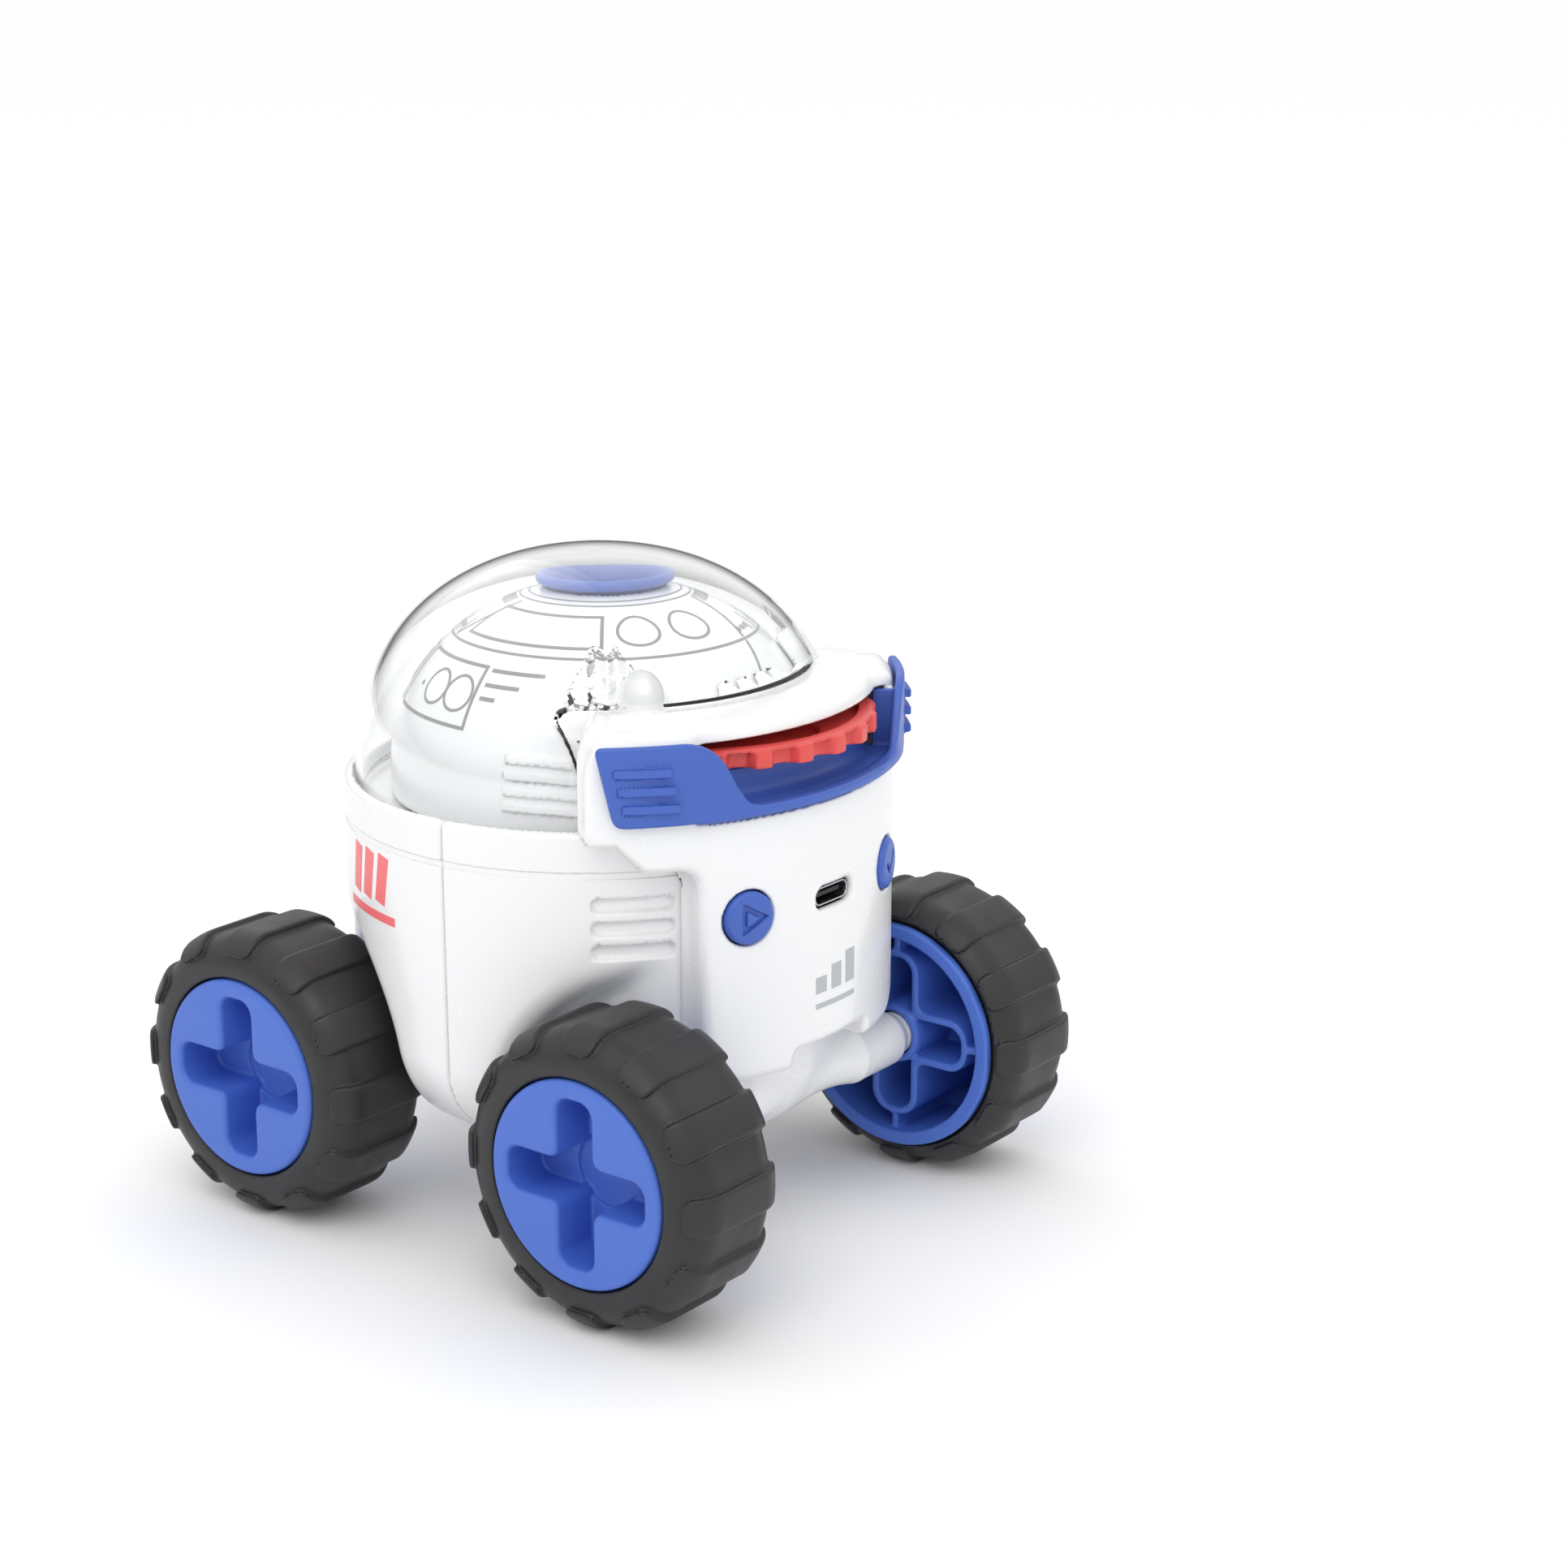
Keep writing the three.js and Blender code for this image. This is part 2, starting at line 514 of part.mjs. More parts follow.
// ---- controls and charging socket ----
function controls() {
  const inner = BODY_R - WALL; // the front shell's inner face
  for (const [name, side] of [["play", -1], ["confirm", 1]]) {
    const heading = side * BUTTON_HEADING;
    add(`${name}_button`, join(
      spoke(BUTTON_R, PANEL_R - 2.6, PANEL_R + 0.9, heading, CONTROL_Z),
      spoke(2.6, inner + 1, PANEL_R - 2, heading, CONTROL_Z, 12),
    ), BLUE);
    const body = new THREE.BoxGeometry(6, 3, 6).translate(0, 2 + GAP - inner, CONTROL_Z);
    add(`${name}_switch`, solid(body.rotateZ(rad(heading)).translate(0, BODY_Y, 0)), BLACK);
  }
  const outline = (grow) =>
    rounded(-4.5 - grow, 4.5 + grow, CONTROL_Z - 1.6 - grow, CONTROL_Z + 1.6 + grow, 1.2);
  add("charging_socket", cut(prismY(outline(0), -47.6, -40), prismY(outline(-0.3), -48, -40.8)), STEEL);
  add("charging_tongue",
    box(-3.4, 3.4, -46.6, -41.2, CONTROL_Z - 0.35, CONTROL_Z + 0.35), BLACK);
}

// ---- rear door, and what the body holds ----
function rearDoor() {
  const back = BODY_Y + BODY_R;
  const skin = sector(BODY_R - 1.8, BODY_R + 0.5, [150, 210], DOOR_Z0, DOOR_Z1);
  const ledge = box(-10.8, 10.8, back - 2, back + 2.2, 38.2, 39.8);
  const holes = [-11, 0, 11].map((x) => barY(1.45, 35, 60, [x, 60.6]));
  add("rear_door", cut(join(skin.intersect(prismY(doorOutline(0), 30, 60)), ledge), ...holes), WHITE);
}

function inside() {
  const speaker = turned([[0, 0], [13, 0], [13, 2.4], [9, 2.4], [7, 6.2], [0, 6.2]], 0, 16);
  add("speaker", speaker.rotate([90, 0, 0]).translate([0, 38.6, 51]), BLACK);
  add("battery", prismX(rounded(-12, 10, 20.4, 38.4, 3), -18, 18), BLUE);
  add("main_board", box(-24, 24, -24, 26, 66, 67.6), GREEN);
  SCREWS.forEach((at, i) => {
    add(`belly_screw_${i + 1}`, join(barZ(2, 14.7, 15.4, at, 10), barZ(1, 15.2, 19.6, at, 10)), STEEL);
  });
}

bodyShells();
wheels();
frontPanel();
frontCowl();
visor();
domes();
projector();
controls();
rearDoor();
inside();

export default root;
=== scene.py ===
"""Looks of the rover-shaped picture projector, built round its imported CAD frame.

Most pieces are the zero surface of a distance function, in millimetres in the CAD frame: smooth
minima and maxima give every moulding its fillets. A mesh is read off a grid, and its points are then
moved onto the exact surface. A heading is an angle in degrees about the body's upright axis, from
the front (-Y) towards +X.
"""

import json
import math

import bmesh
import bpy
import numpy as np
from mathutils import Matrix, Vector


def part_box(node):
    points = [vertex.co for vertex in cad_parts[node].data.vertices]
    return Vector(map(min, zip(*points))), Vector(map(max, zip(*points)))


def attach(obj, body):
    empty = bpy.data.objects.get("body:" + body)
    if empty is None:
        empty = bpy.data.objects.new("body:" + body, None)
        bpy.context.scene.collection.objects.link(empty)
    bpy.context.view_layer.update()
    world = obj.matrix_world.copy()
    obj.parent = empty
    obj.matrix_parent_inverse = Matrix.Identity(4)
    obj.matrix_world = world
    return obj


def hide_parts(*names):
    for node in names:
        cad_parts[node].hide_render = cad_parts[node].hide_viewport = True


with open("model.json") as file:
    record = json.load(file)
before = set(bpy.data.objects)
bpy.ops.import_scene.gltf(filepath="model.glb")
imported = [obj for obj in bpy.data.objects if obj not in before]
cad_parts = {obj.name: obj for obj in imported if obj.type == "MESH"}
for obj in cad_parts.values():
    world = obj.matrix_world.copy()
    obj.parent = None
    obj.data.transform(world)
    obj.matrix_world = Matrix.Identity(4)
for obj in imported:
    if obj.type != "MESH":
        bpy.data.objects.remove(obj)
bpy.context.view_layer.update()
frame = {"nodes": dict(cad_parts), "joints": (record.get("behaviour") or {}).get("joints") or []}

MM = 0.001
PLACES = ["front_left", "front_right", "rear_left", "rear_right"]
JOINTS = {joint["name"]: joint for joint in frame["joints"]}


def box_mm(node):
    """The corners of a node's box."""
    low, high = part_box(node)
    return np.array(low) / MM, np.array(high) / MM


# ---- sizes read from the frame ----
REAR_LO, REAR_HI = box_mm("rear_shell")
PANEL_LO = box_mm("front_panel")[0]
COWL_LO = box_mm("front_cowl")[0]
VISOR_LO, VISOR_HI = box_mm("visor")
DOME_LO, DOME_HI = box_mm("clear_dome")
COVER_LO, COVER_HI = box_mm("projector_cover")
DIAL_LO, DIAL_HI = box_mm("picture_dial")
BEZEL_HI = box_mm("bezel")[1]
DOOR_LO, DOOR_HI = box_mm("rear_door")
TYRE_LO, TYRE_HI = box_mm("tyre_front_right")
HUB_LO, HUB_HI = box_mm("hub_front_right")
PIN_LO, PIN_HI = box_mm("axle_pin_front_right")
PLAY_LO, PLAY_HI = box_mm("play_button")
WHEEL_AT = np.array(JOINTS["wheel_front_right_spin"]["pos_m"]) / MM
DIAL_AT = np.array(JOINTS["dial_spin"]["pos_m"]) / MM

# ---- body ----
BODY_R = REAR_HI[0]
BODY_Y = DOME_HI[1] - DOME_HI[0]
WALL = 2.0
BELLY_Z = REAR_LO[2]
BELLY_R = 14.0
BELLY_SHIFT = 3.0
BOWL_Z = 33.4
COLLAR_Z = REAR_HI[2]
SEAM_Y = REAR_LO[1] - 0.15
BAND_Z = (67.7, 68.8)  # the recessed line round the collar
VENT_SPOTS = ((42.3, 8.9), (142.45, 7.75))  # heading of the middle and half the width, in degrees
VENT_ROWS = (55.4, 59.3, 63.2)
VENT_HALF_H = 1.15
VENT_DEPTH = 1.15
DOME_SEAT_Z = 72.7
BUSH_X = 19.5
SCREW_X = 9
SCREW_Y = (-8.5, 7)
DOOR_HOLES = (-11, 0, 11)
DOOR_HOLE_Z = 60.6
LEDGE_Z = 39

# ---- wheels ----
WHEEL_Z = WHEEL_AT[2]
HALF_BASE = -WHEEL_AT[1]
TYRE_R = TYRE_HI[2] / 2
LUG_H = 0.95
LUGS = 12
TYRE_SEAT_X = 50.1
HUB_X = HUB_HI[0]
FLANGE_X = HUB_LO[0]
FLANGE_R = (HUB_HI[2] - HUB_LO[2]) / 2
FACE_R = 17.2
RIM_R = 19.0
PLUS_REACH = 14.0
PLUS_HALF = 3.6
PLUS_FLOOR_X = 44.2
ARCH_R = 27.2
ARCH_X = 27.5
ARM_R = 4.9
ARM_TIP_R = 3.8
ARM_END_X = 33.4
BORE_R = 2.46

# ---- front housing ----
PANEL_R = BODY_Y - PANEL_LO[1]
PANEL_HALF = 30.8
PANEL_Z0 = PANEL_LO[2]
SHOULDER_Z = 70.2
HOUSING_HALF = 52.0
COWL_TOP = 93.4
LIP_R = BODY_Y - COWL_LO[1]
LIP_Z = COWL_LO[2] + 11.3
VISOR_R = BODY_Y - VISOR_LO[1]
COWL_R = VISOR_R - 2.0
VISOR_Z0 = VISOR_LO[2]
VISOR_Z1 = VISOR_HI[2]
VISOR_ROWS = (81.6, 84.5, 87.4)
TRAY_R = 43.8
CONTROL_Z = (PLAY_LO[2] + PLAY_HI[2]) / 2
BUTTON_R = (PLAY_HI[2] - PLAY_LO[2]) / 2
BUTTON_HEADING = 21.5
DIAL_TEETH = 24
DIAL_WINDOWS = 6
DIAL_WINDOW_R = 4.6

# ---- domes: radius, height, foot, exponent and centre ----
DOME = {"a": DOME_HI[0], "z": 76.4, "c": 36.3, "n": 2.18, "y": BODY_Y}
COVER = {"a": COVER_HI[0], "z": 75.0, "c": 32.4, "n": 2.11, "y": 0.0}
DOME_IN = {**DOME, "a": DOME["a"] - 1.2, "c": DOME["c"] - 2.2}  # the wall is thicker at the crown
COVER_T = 1.4
MOUTH_X = 32.4
BEZEL_R = BEZEL_HI[0]
BEZEL_Z = BEZEL_HI[2] - 0.9
FAIRING_Z = 89.5  # top of the inner cover's bulge round the dial


# ---- distance functions ----
def smax(a, b, k):
    """The larger of two fields, with a fillet of about k."""
    h = np.maximum(k - np.abs(a - b), 0) / k
    return np.maximum(a, b) + h * h * k / 4


def smin(a, b, k):
    """The smaller of two fields, with a fillet of about k."""
    return -smax(-a, -b, k)


def cut(a, b, k):
    """a without b."""
    return smax(a, -b, k)


def slab(t, low, high):
    """The band of t from low to high."""
    return np.maximum(low - t, t - high)


def rect(u, v, half_u, half_v, r):
    """A rectangle about the origin with corners of radius r."""
    du = np.abs(u) - half_u + r
    dv = np.abs(v) - half_v + r
    outside = np.hypot(np.maximum(du, 0), np.maximum(dv, 0))
    return outside + np.minimum(np.maximum(du, dv), 0) - r


def ramp(t, low, high):
    """0 below low, 1 above high, smooth between."""
    s = np.clip((t - low) / (high - low), 0, 1)
    return s * s * (3 - 2 * s)


def polar(x, y):
    """Distance from the body's axis, and heading."""
    return np.hypot(x, y - BODY_Y), np.degrees(np.arctan2(x, BODY_Y - y))


def arc_mm(degrees, radius):
    """Length along a circle."""
    return np.radians(degrees) * radius


def body(x, y, z, inset):
    """The body's round outside, drawn in by inset: a drum on a bowl that leans forward."""
    drop = np.clip((BOWL_Z - z) / (BOWL_Z - BELLY_Z), 0, 1)
    rho = np.hypot(x, y - BODY_Y + BELLY_SHIFT * drop)
    a = BODY_R - inset - BELLY_R
    c = BOWL_Z - BELLY_Z - inset
    u = np.maximum(rho - BELLY_R, 0) / a
    v = np.maximum(BOWL_Z - z, 0) / c
    n = 2 + 0.4 * ramp(BODY_Y - y, 8, 36)  # the bowl is a little fuller towards the front
    tiny = 1e-4
    length = (u**n + v**n) ** (1 / n) + tiny
    return (length - 1) * length / (np.hypot(u / a, v / c) + tiny / a)


def dome(x, y, z, d, grow=0.0):
    """A superellipse dome on a straight skirt."""
    a = d["a"] + grow
    c = d["c"] + grow
    n = d["n"]
    rho = np.hypot(x, y - d["y"]) + 1e-6
    up = np.maximum(z - d["z"], 0)
    g = ((rho / a) ** n + (up / c) ** n) ** (1 / n)
    slope = g ** (1 - n) * np.hypot(rho ** (n - 1) / a**n, up ** (n - 1) / c**n)
    return (g - 1) / slope


# ---- meshes ----
EDGES = [
    (p, tuple(q + (k == axis) for k, q in enumerate(p)))
    for axis in range(3)
    for p in [(i, j, k) for i in (0, 1) for j in (0, 1) for k in (0, 1)]
    if p[axis] == 0
]


def axis_points(low, high, step, fine=()):
    """Grid lines from low to high; each (from, to, step) in fine is spaced more closely."""
    points = [low - step]
    while points[-1] < high + step:
        here = points[-1]
        steps = [s for a, b, s in fine if a <= here < b]
        points.append(here + (min(steps) if steps else step))
    return np.array(points)


def net(values, axes):
    """Surface nets: one point in each cell that the zero surface crosses, and its quads."""
    inside = values < 0
    shape = [n - 1 for n in values.shape]

    def corner(array, p):
        return array[tuple(slice(q, q + n) for q, n in zip(p, shape))]

    count = sum(corner(inside, p).astype(np.int8) for p in np.ndindex(2, 2, 2))
    cells = (count > 0) & (count < 8)
    at = np.argwhere(cells)
    number = np.full(shape, -1)
    number[cells] = np.arange(len(at))
    low = np.stack([axes[k][at[:, k]] for k in range(3)], 1)
    size = np.stack([axes[k][at[:, k] + 1] for k in range(3)], 1) - low
    total = np.zeros((len(at), 3))
    hits = np.zeros(len(at))
    for p, q in EDGES:
        vp = corner(values, p)[cells].astype(float)
        vq = corner(values, q)[cells].astype(float)
        crosses = (vp < 0) != (vq < 0)
        t = np.where(crosses, vp / np.where(crosses, vp - vq, 1), 0)
        point = np.array(p) + t[:, None] * (np.array(q) - np.array(p))
        total += point * crosses[:, None]
        hits += crosses
    points = low + size * total / hits[:, None]
    quads = []
    for axis in range(3):
        others = [k for k in range(3) if k != axis]
        first = np.moveaxis(inside, axis, 0)
        numbers = np.moveaxis(number, axis, 0)
        change = first[:-1, 1:-1, 1:-1] != first[1:, 1:-1, 1:-1]
        i, j, k = np.nonzero(change)
        ring = [numbers[i, j, k], numbers[i, j + 1, k], numbers[i, j + 1, k + 1], numbers[i, j, k + 1]]
        quad = np.stack(ring, 1)
        out = first[i, j + 1, k + 1]
        if others == [0, 2]:
            out = ~out
        quad[~out] = quad[~out][:, ::-1]
        quads.append(quad)
    return points, np.concatenate(quads)


def gradient(f, p, h=0.02):
    """Slope of f at each point, by central differences."""
    columns = []
    for axis in range(3):
        step = np.zeros(3)
        step[axis] = h
        ahead = f(*(p + step).T)
        behind = f(*(p - step).T)
        columns.append((ahead - behind) / (2 * h))
    return np.stack(columns, 1)


def surface_mesh(name, f, low, high, step, fine_z=()):
    """The mesh of f = 0 in a box, in metres, with its points and normals taken from f itself."""
    axes = [axis_points(low[k], high[k], step, fine_z if k == 2 else ()) for k in range(3)]
    grid = np.meshgrid(*axes, indexing="ij", sparse=True)
    values = f(*grid).astype(np.float32)
    points, quads = net(values, axes)
    for _ in range(3):
        slope = gradient(f, points)
        size = np.maximum((slope**2).sum(1), 0.05)
        move = np.clip(f(*points.T) / size, -step / 2, step / 2)
        points = points - slope * move[:, None]
    slope = gradient(f, points)
    slope /= np.maximum(np.linalg.norm(slope, axis=1), 1e-6)[:, None]
    mesh = bpy.data.meshes.new(name)
    mesh.from_pydata((points * MM).tolist(), [], quads.tolist())
    mesh.polygons.foreach_set("use_smooth", [True] * len(mesh.polygons))
    mesh.normals_split_custom_set_from_vertices(slope.tolist())
    mesh.update()
    return mesh


def add_piece(name, mesh, body_name, material, replaced=(), matrix=None):
    """An object that rides on a body, with its material; the frame's parts that it replaces are hidden."""
    piece = bpy.data.objects.new(name, mesh)
    bpy.context.scene.collection.objects.link(piece)
    if matrix is not None:
        piece.matrix_world = matrix
    if not mesh.materials:
        mesh.materials.append(material)
    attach(piece, body_name)
    if replaced:
        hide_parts(*replaced)
    return piece


def lathe_mesh(name, profile, segments=128, centre=(0.0, 0.0)):
    """A closed [radius, height] profile in millimetres turned about an upright line."""
    mesh = bpy.data.meshes.new(name)
    bm = bmesh.new()
    rings = []
    for radius, height in profile:
        ring = []
        for i in range(segments):
            a = 2 * math.pi * i / segments
            x = centre[0] + radius * math.cos(a)
            y = centre[1] + radius * math.sin(a)
            ring.append(bm.verts.new((x * MM, y * MM, height * MM)))
        rings.append(ring)
    for a, b in zip(rings, rings[1:] + rings[:1]):
        for i in range(segments):
            j = (i + 1) % segments
            bm.faces.new((a[i], a[j], b[j], b[i]))
    bmesh.ops.recalc_face_normals(bm, faces=bm.faces)
    for face in bm.faces:
        face.smooth = True
    bm.to_mesh(mesh)
    bm.free()
    return mesh


def arc_points(cx, cz, r, start, end, steps=8):
    turns = [math.radians(start + (end - start) * i / steps) for i in range(steps + 1)]
    return [(cx + r * math.cos(a), cz + r * math.sin(a)) for a in turns]


# ---- materials ----
def material(name, color, roughness, **shader):
    """A Principled material, its node tree and its shader node."""
    made = bpy.data.materials.new(name)
    made.use_nodes = True
    tree = made.node_tree
    bsdf = tree.nodes["Principled BSDF"]
    bsdf.inputs["Base Color"].default_value = (*color, 1)
    bsdf.inputs["Roughness"].default_value = roughness
    for key, value in shader.items():
        bsdf.inputs[key.replace("_", " ")].default_value = value
    return made, tree, bsdf


def noise(tree, scale, detail=3.0, distortion=0.0):
    """Noise over the object's own coordinates, at a scale in features per metre."""
    coordinates = tree.nodes.new("ShaderNodeTexCoord")
    texture = tree.nodes.new("ShaderNodeTexNoise")
    texture.inputs["Scale"].default_value = scale
    texture.inputs["Detail"].default_value = detail
    texture.inputs["Distortion"].default_value = distortion
    tree.links.new(coordinates.outputs["Object"], texture.inputs["Vector"])
    return texture.outputs["Fac"]


def spread(tree, value, low, high):
    """Maps a 0.3 to 0.7 noise onto low to high."""
    node = tree.nodes.new("ShaderNodeMapRange")
    node.inputs["From Min"].default_value = 0.3
    node.inputs["From Max"].default_value = 0.7
    node.inputs["To Min"].default_value = low
    node.inputs["To Max"].default_value = high
    tree.links.new(value, node.inputs["Value"])
    return node.outputs["Result"]


def mix_colors(tree, value, dark, light):
    node = tree.nodes.new("ShaderNodeMix")
    node.data_type = "RGBA"
    node.inputs["A"].default_value = (*dark, 1)
    node.inputs["B"].default_value = (*light, 1)
    tree.links.new(value, node.inputs["Factor"])
    return node.outputs["Result"]


def bump(tree, bsdf, height, strength, distance):
    node = tree.nodes.new("ShaderNodeBump")
    node.inputs["Strength"].default_value = strength
    node.inputs["Distance"].default_value = distance
    tree.links.new(height, node.inputs["Height"])
    tree.links.new(node.outputs["Normal"], bsdf.inputs["Normal"])


def moulded(name, color, roughness, vary=0.03, grain=900, strength=0.12, **shader):
    """Moulded plastic: faint colour drift, uneven gloss and a fine surface grain."""
    made, tree, bsdf = material(name, color, roughness, **shader)
    drift = noise(tree, 38, 2)
    darker = tuple(c * (1 - vary) for c in color)
    tree.links.new(mix_colors(tree, drift, darker, color), bsdf.inputs["Base Color"])
    gloss = spread(tree, noise(tree, 160, 4), roughness * 0.85, roughness * 1.15)
    tree.links.new(gloss, bsdf.inputs["Roughness"])
    bump(tree, bsdf, noise(tree, grain, 3), strength, 0.00002)
    return made


def clear_plastic(name):
    """Polished clear plastic, with the faint waviness of a moulding."""
    made, tree, bsdf = material(
        name, (0.985, 0.99, 0.995), 0.02, IOR=1.49, Transmission_Weight=1.0
    )
    tint = mix_colors(tree, noise(tree, 25, 2), (0.97, 0.98, 0.985), (0.99, 0.993, 0.996))
    tree.links.new(tint, bsdf.inputs["Base Color"])
    tree.links.new(spread(tree, noise(tree, 120, 2), 0.01, 0.03), bsdf.inputs["Roughness"])
    bump(tree, bsdf, noise(tree, 60, 1), 0.04, 0.0002)
    return made


def metal(name, color, roughness):
    """Turned or plated metal with fine streaks."""
    made, tree, bsdf = material(name, color, roughness, Metallic=1.0)
    streaks = noise(tree, 1500, 4, 0.4)
    tree.links.new(spread(tree, streaks, roughness * 0.7, roughness * 1.4), bsdf.inputs["Roughness"])
    bump(tree, bsdf, streaks, 0.15, 0.00002)
    return made


WHITE = moulded(
    "white_gloss", (0.9, 0.905, 0.91), 0.24, 0.01, strength=0.04, Coat_Weight=0.35, Coat_Roughness=0.08
)
BLUE = moulded("blue_satin", (0.055, 0.13, 0.52), 0.42, 0.08)
HUB_BLUE = moulded("blue_hub", (0.07, 0.165, 0.62), 0.44, 0.08)
RED = moulded("red_satin", (0.78, 0.085, 0.075), 0.38, 0.06)
RUBBER = moulded("tyre_rubber", (0.021, 0.021, 0.022), 0.46, 0.15, grain=1400, strength=0.3)
CLEAR = clear_plastic("clear_plastic")
STEEL = metal("plated_steel", (0.62, 0.63, 0.65), 0.25)
BRONZE = metal("bush_bronze", (0.55, 0.38, 0.2), 0.35)
BLACK = moulded("black_plastic", (0.012, 0.012, 0.013), 0.45, 0.2)
BOARD = moulded("circuit_board", (0.02, 0.12, 0.05), 0.4, 0.3)
WRAP = moulded("battery_wrap", (0.06, 0.12, 0.5), 0.3, 0.1)
CORAL = moulded("coral_print", (0.93, 0.17, 0.18), 0.35, 0.05)
GREY_PRINT = moulded("grey_print", (0.5, 0.52, 0.53), 0.35, 0.05)
LINE_PRINT = moulded("line_print", (0.3, 0.3, 0.3), 0.4, 0.05)


# ---- body shells ----
def shell(x, y, z):
    """Both halves of the body in one: drum and bowl, arches, arms, vents, bores and openings."""
    side = np.abs(x)
    wheel = np.hypot(np.abs(y) - HALF_BASE, z - WHEEL_Z)
    rho, heading = polar(x, y)
    turn = np.abs(heading)
    outside = cut(body(x, y, z, 0), smax(wheel - ARCH_R, ARCH_X - side, 3.0), 3.5)
    arm_r = ARM_R - (ARM_R - ARM_TIP_R) * ramp(side, 28.2, 31.4) - 0.4 * np.maximum(18 - side, 0)
    arm = smax(wheel - arm_r, slab(side, 8, ARM_END_X), 0.8)
    outside = smin(outside, arm, 5.0)
    outside = smax(outside, z - COLLAR_Z, 1.3)
    band = np.maximum(BODY_R - 0.28 - rho, slab(z, *BAND_Z))
    outside = cut(outside, band, 0.14)
    for centre, half in VENT_SPOTS:
        s = arc_mm(turn - centre, BODY_R)
        for row in VENT_ROWS:
            slot = rect(s, z - row, arc_mm(half, BODY_R), VENT_HALF_H, VENT_HALF_H - 0.1)
            outside = cut(outside, smax(slot, BODY_R - VENT_DEPTH - rho, 0.5), 0.5)
    past_arch = np.minimum(ARCH_R + WALL - wheel, side - ARCH_X + WALL)
    f = cut(outside, np.maximum(body(x, y, z, WALL), past_arch), 0.5)
    f = cut(f, np.maximum(rho - DOME["a"] - 0.3, DOME_SEAT_Z - z), 0.2)
    f = cut(f, np.maximum(wheel - BORE_R, BUSH_X - side), 0.3)
    door_z = (DOOR_LO[2] + DOOR_HI[2]) / 2
    door = rect(x, z - door_z, DOOR_HI[0] + 0.3, DOOR_HI[2] - door_z + 0.3, 3.7)
    f = cut(f, np.maximum(door, 35 - y), 0.5)
    socket = np.maximum(rect(x, z - CONTROL_Z, 5.2, 2.4, 2), y + 38)
    aside = rho * np.sin(np.radians(turn - BUTTON_HEADING))
    stems = np.maximum(np.hypot(aside, z - CONTROL_Z) - 3.2, y + 20)
    f = cut(f, np.minimum(socket, stems), 0.3)
    screws = np.hypot(side - SCREW_X, np.minimum(np.abs(y - SCREW_Y[1]), np.abs(y - SCREW_Y[0])))
    return cut(f, np.maximum(screws - 1.3 - 1.0 * (z < 15.7), z - 20), 0.2)


def body_shells():
    """The shell, parted at the seam into its two mouldings."""
    fine = [(BAND_Z[0] - 0.6, BAND_Z[1] + 0.6, 0.15)]
    halves = {
        "rear": (lambda x, y, z: smax(shell(x, y, z), SEAM_Y + 0.04 - y, 0.25), SEAM_Y, BODY_R + BODY_Y),
        "front": (lambda x, y, z: smax(shell(x, y, z), y - SEAM_Y + 0.04, 0.25), BODY_Y - BODY_R - 2, SEAM_Y),
    }
    for end, (f, y0, y1) in halves.items():
        name = f"{end}_shell_moulding"
        low = (-BODY_R, y0, BELLY_Z)
        high = (BODY_R, y1, COLLAR_Z)
        mesh = surface_mesh(name, f, low, high, 0.6, fine)
        add_piece(name, mesh, "chassis", WHITE, [f"{end}_shell"])


# ---- wheels: x runs outwards along the axle, from the middle of the car ----
def plus(y, z, reach, half, end):
    """A plus with arms of a given reach, half width and end radius."""
    return smin(rect(y, z, reach, half, end), rect(y, z, half, reach, end), 2.0)


def hub(x, y, z):
    """A rim with a plus-shaped recess in its face, its cup and ribs behind, and a boss for the pin."""
    q = np.hypot(y, z)
    barrel = smax(q - RIM_R, slab(x, FLANGE_X, 49.9), 0.6)
    disc = smax(q - FACE_R, slab(x, 40, HUB_X), 1.1)
    flange = smax(q - FLANGE_R, slab(x, FLANGE_X, 32.6), 0.6)
    outside = np.minimum(np.minimum(barrel, disc), flange)
    boss = smax(q - 5.4, 31.4 - x, 0.7)
    cup = smax(plus(y, z, PLUS_REACH + 1.2, PLUS_HALF + 1.2, 4.0), 32.2 - x, 0.5)
    ribs = smax(np.minimum(np.abs(y), np.abs(z)) - 0.65, 32.5 - x, 0.4)
    bore_r = 17.9 - 2.6 * ramp(x, 46.5, 50.0)
    hollow = smax(q - bore_r, x - HUB_X + 2.2, 1.0)
    hollow = cut(hollow, smin(smin(cup, ribs, 0.6), boss, 0.8), 0.6)
    f = cut(outside, hollow, 0.4)
    behind_cup = cut(smax(plus(y, z, 14.0, 3.4, 2.8), x - PLUS_FLOOR_X + 1.6, 0.6), boss, 0.8)
    f = cut(f, behind_cup, 0.6)
    floor = PLUS_FLOOR_X + 0.9 * ramp(q, 6.0, 6.5)
    f = cut(f, smax(plus(y, z, PLUS_REACH, PLUS_HALF, 2.5), floor - x, 0.6), 1.1)
    f = cut(f, np.maximum(q - ARM_TIP_R - 0.3, x - ARM_END_X - 0.3), 0.3)
    return cut(f, np.maximum(q - 1.56, x - PIN_HI[0] - 0.3), 0.1)


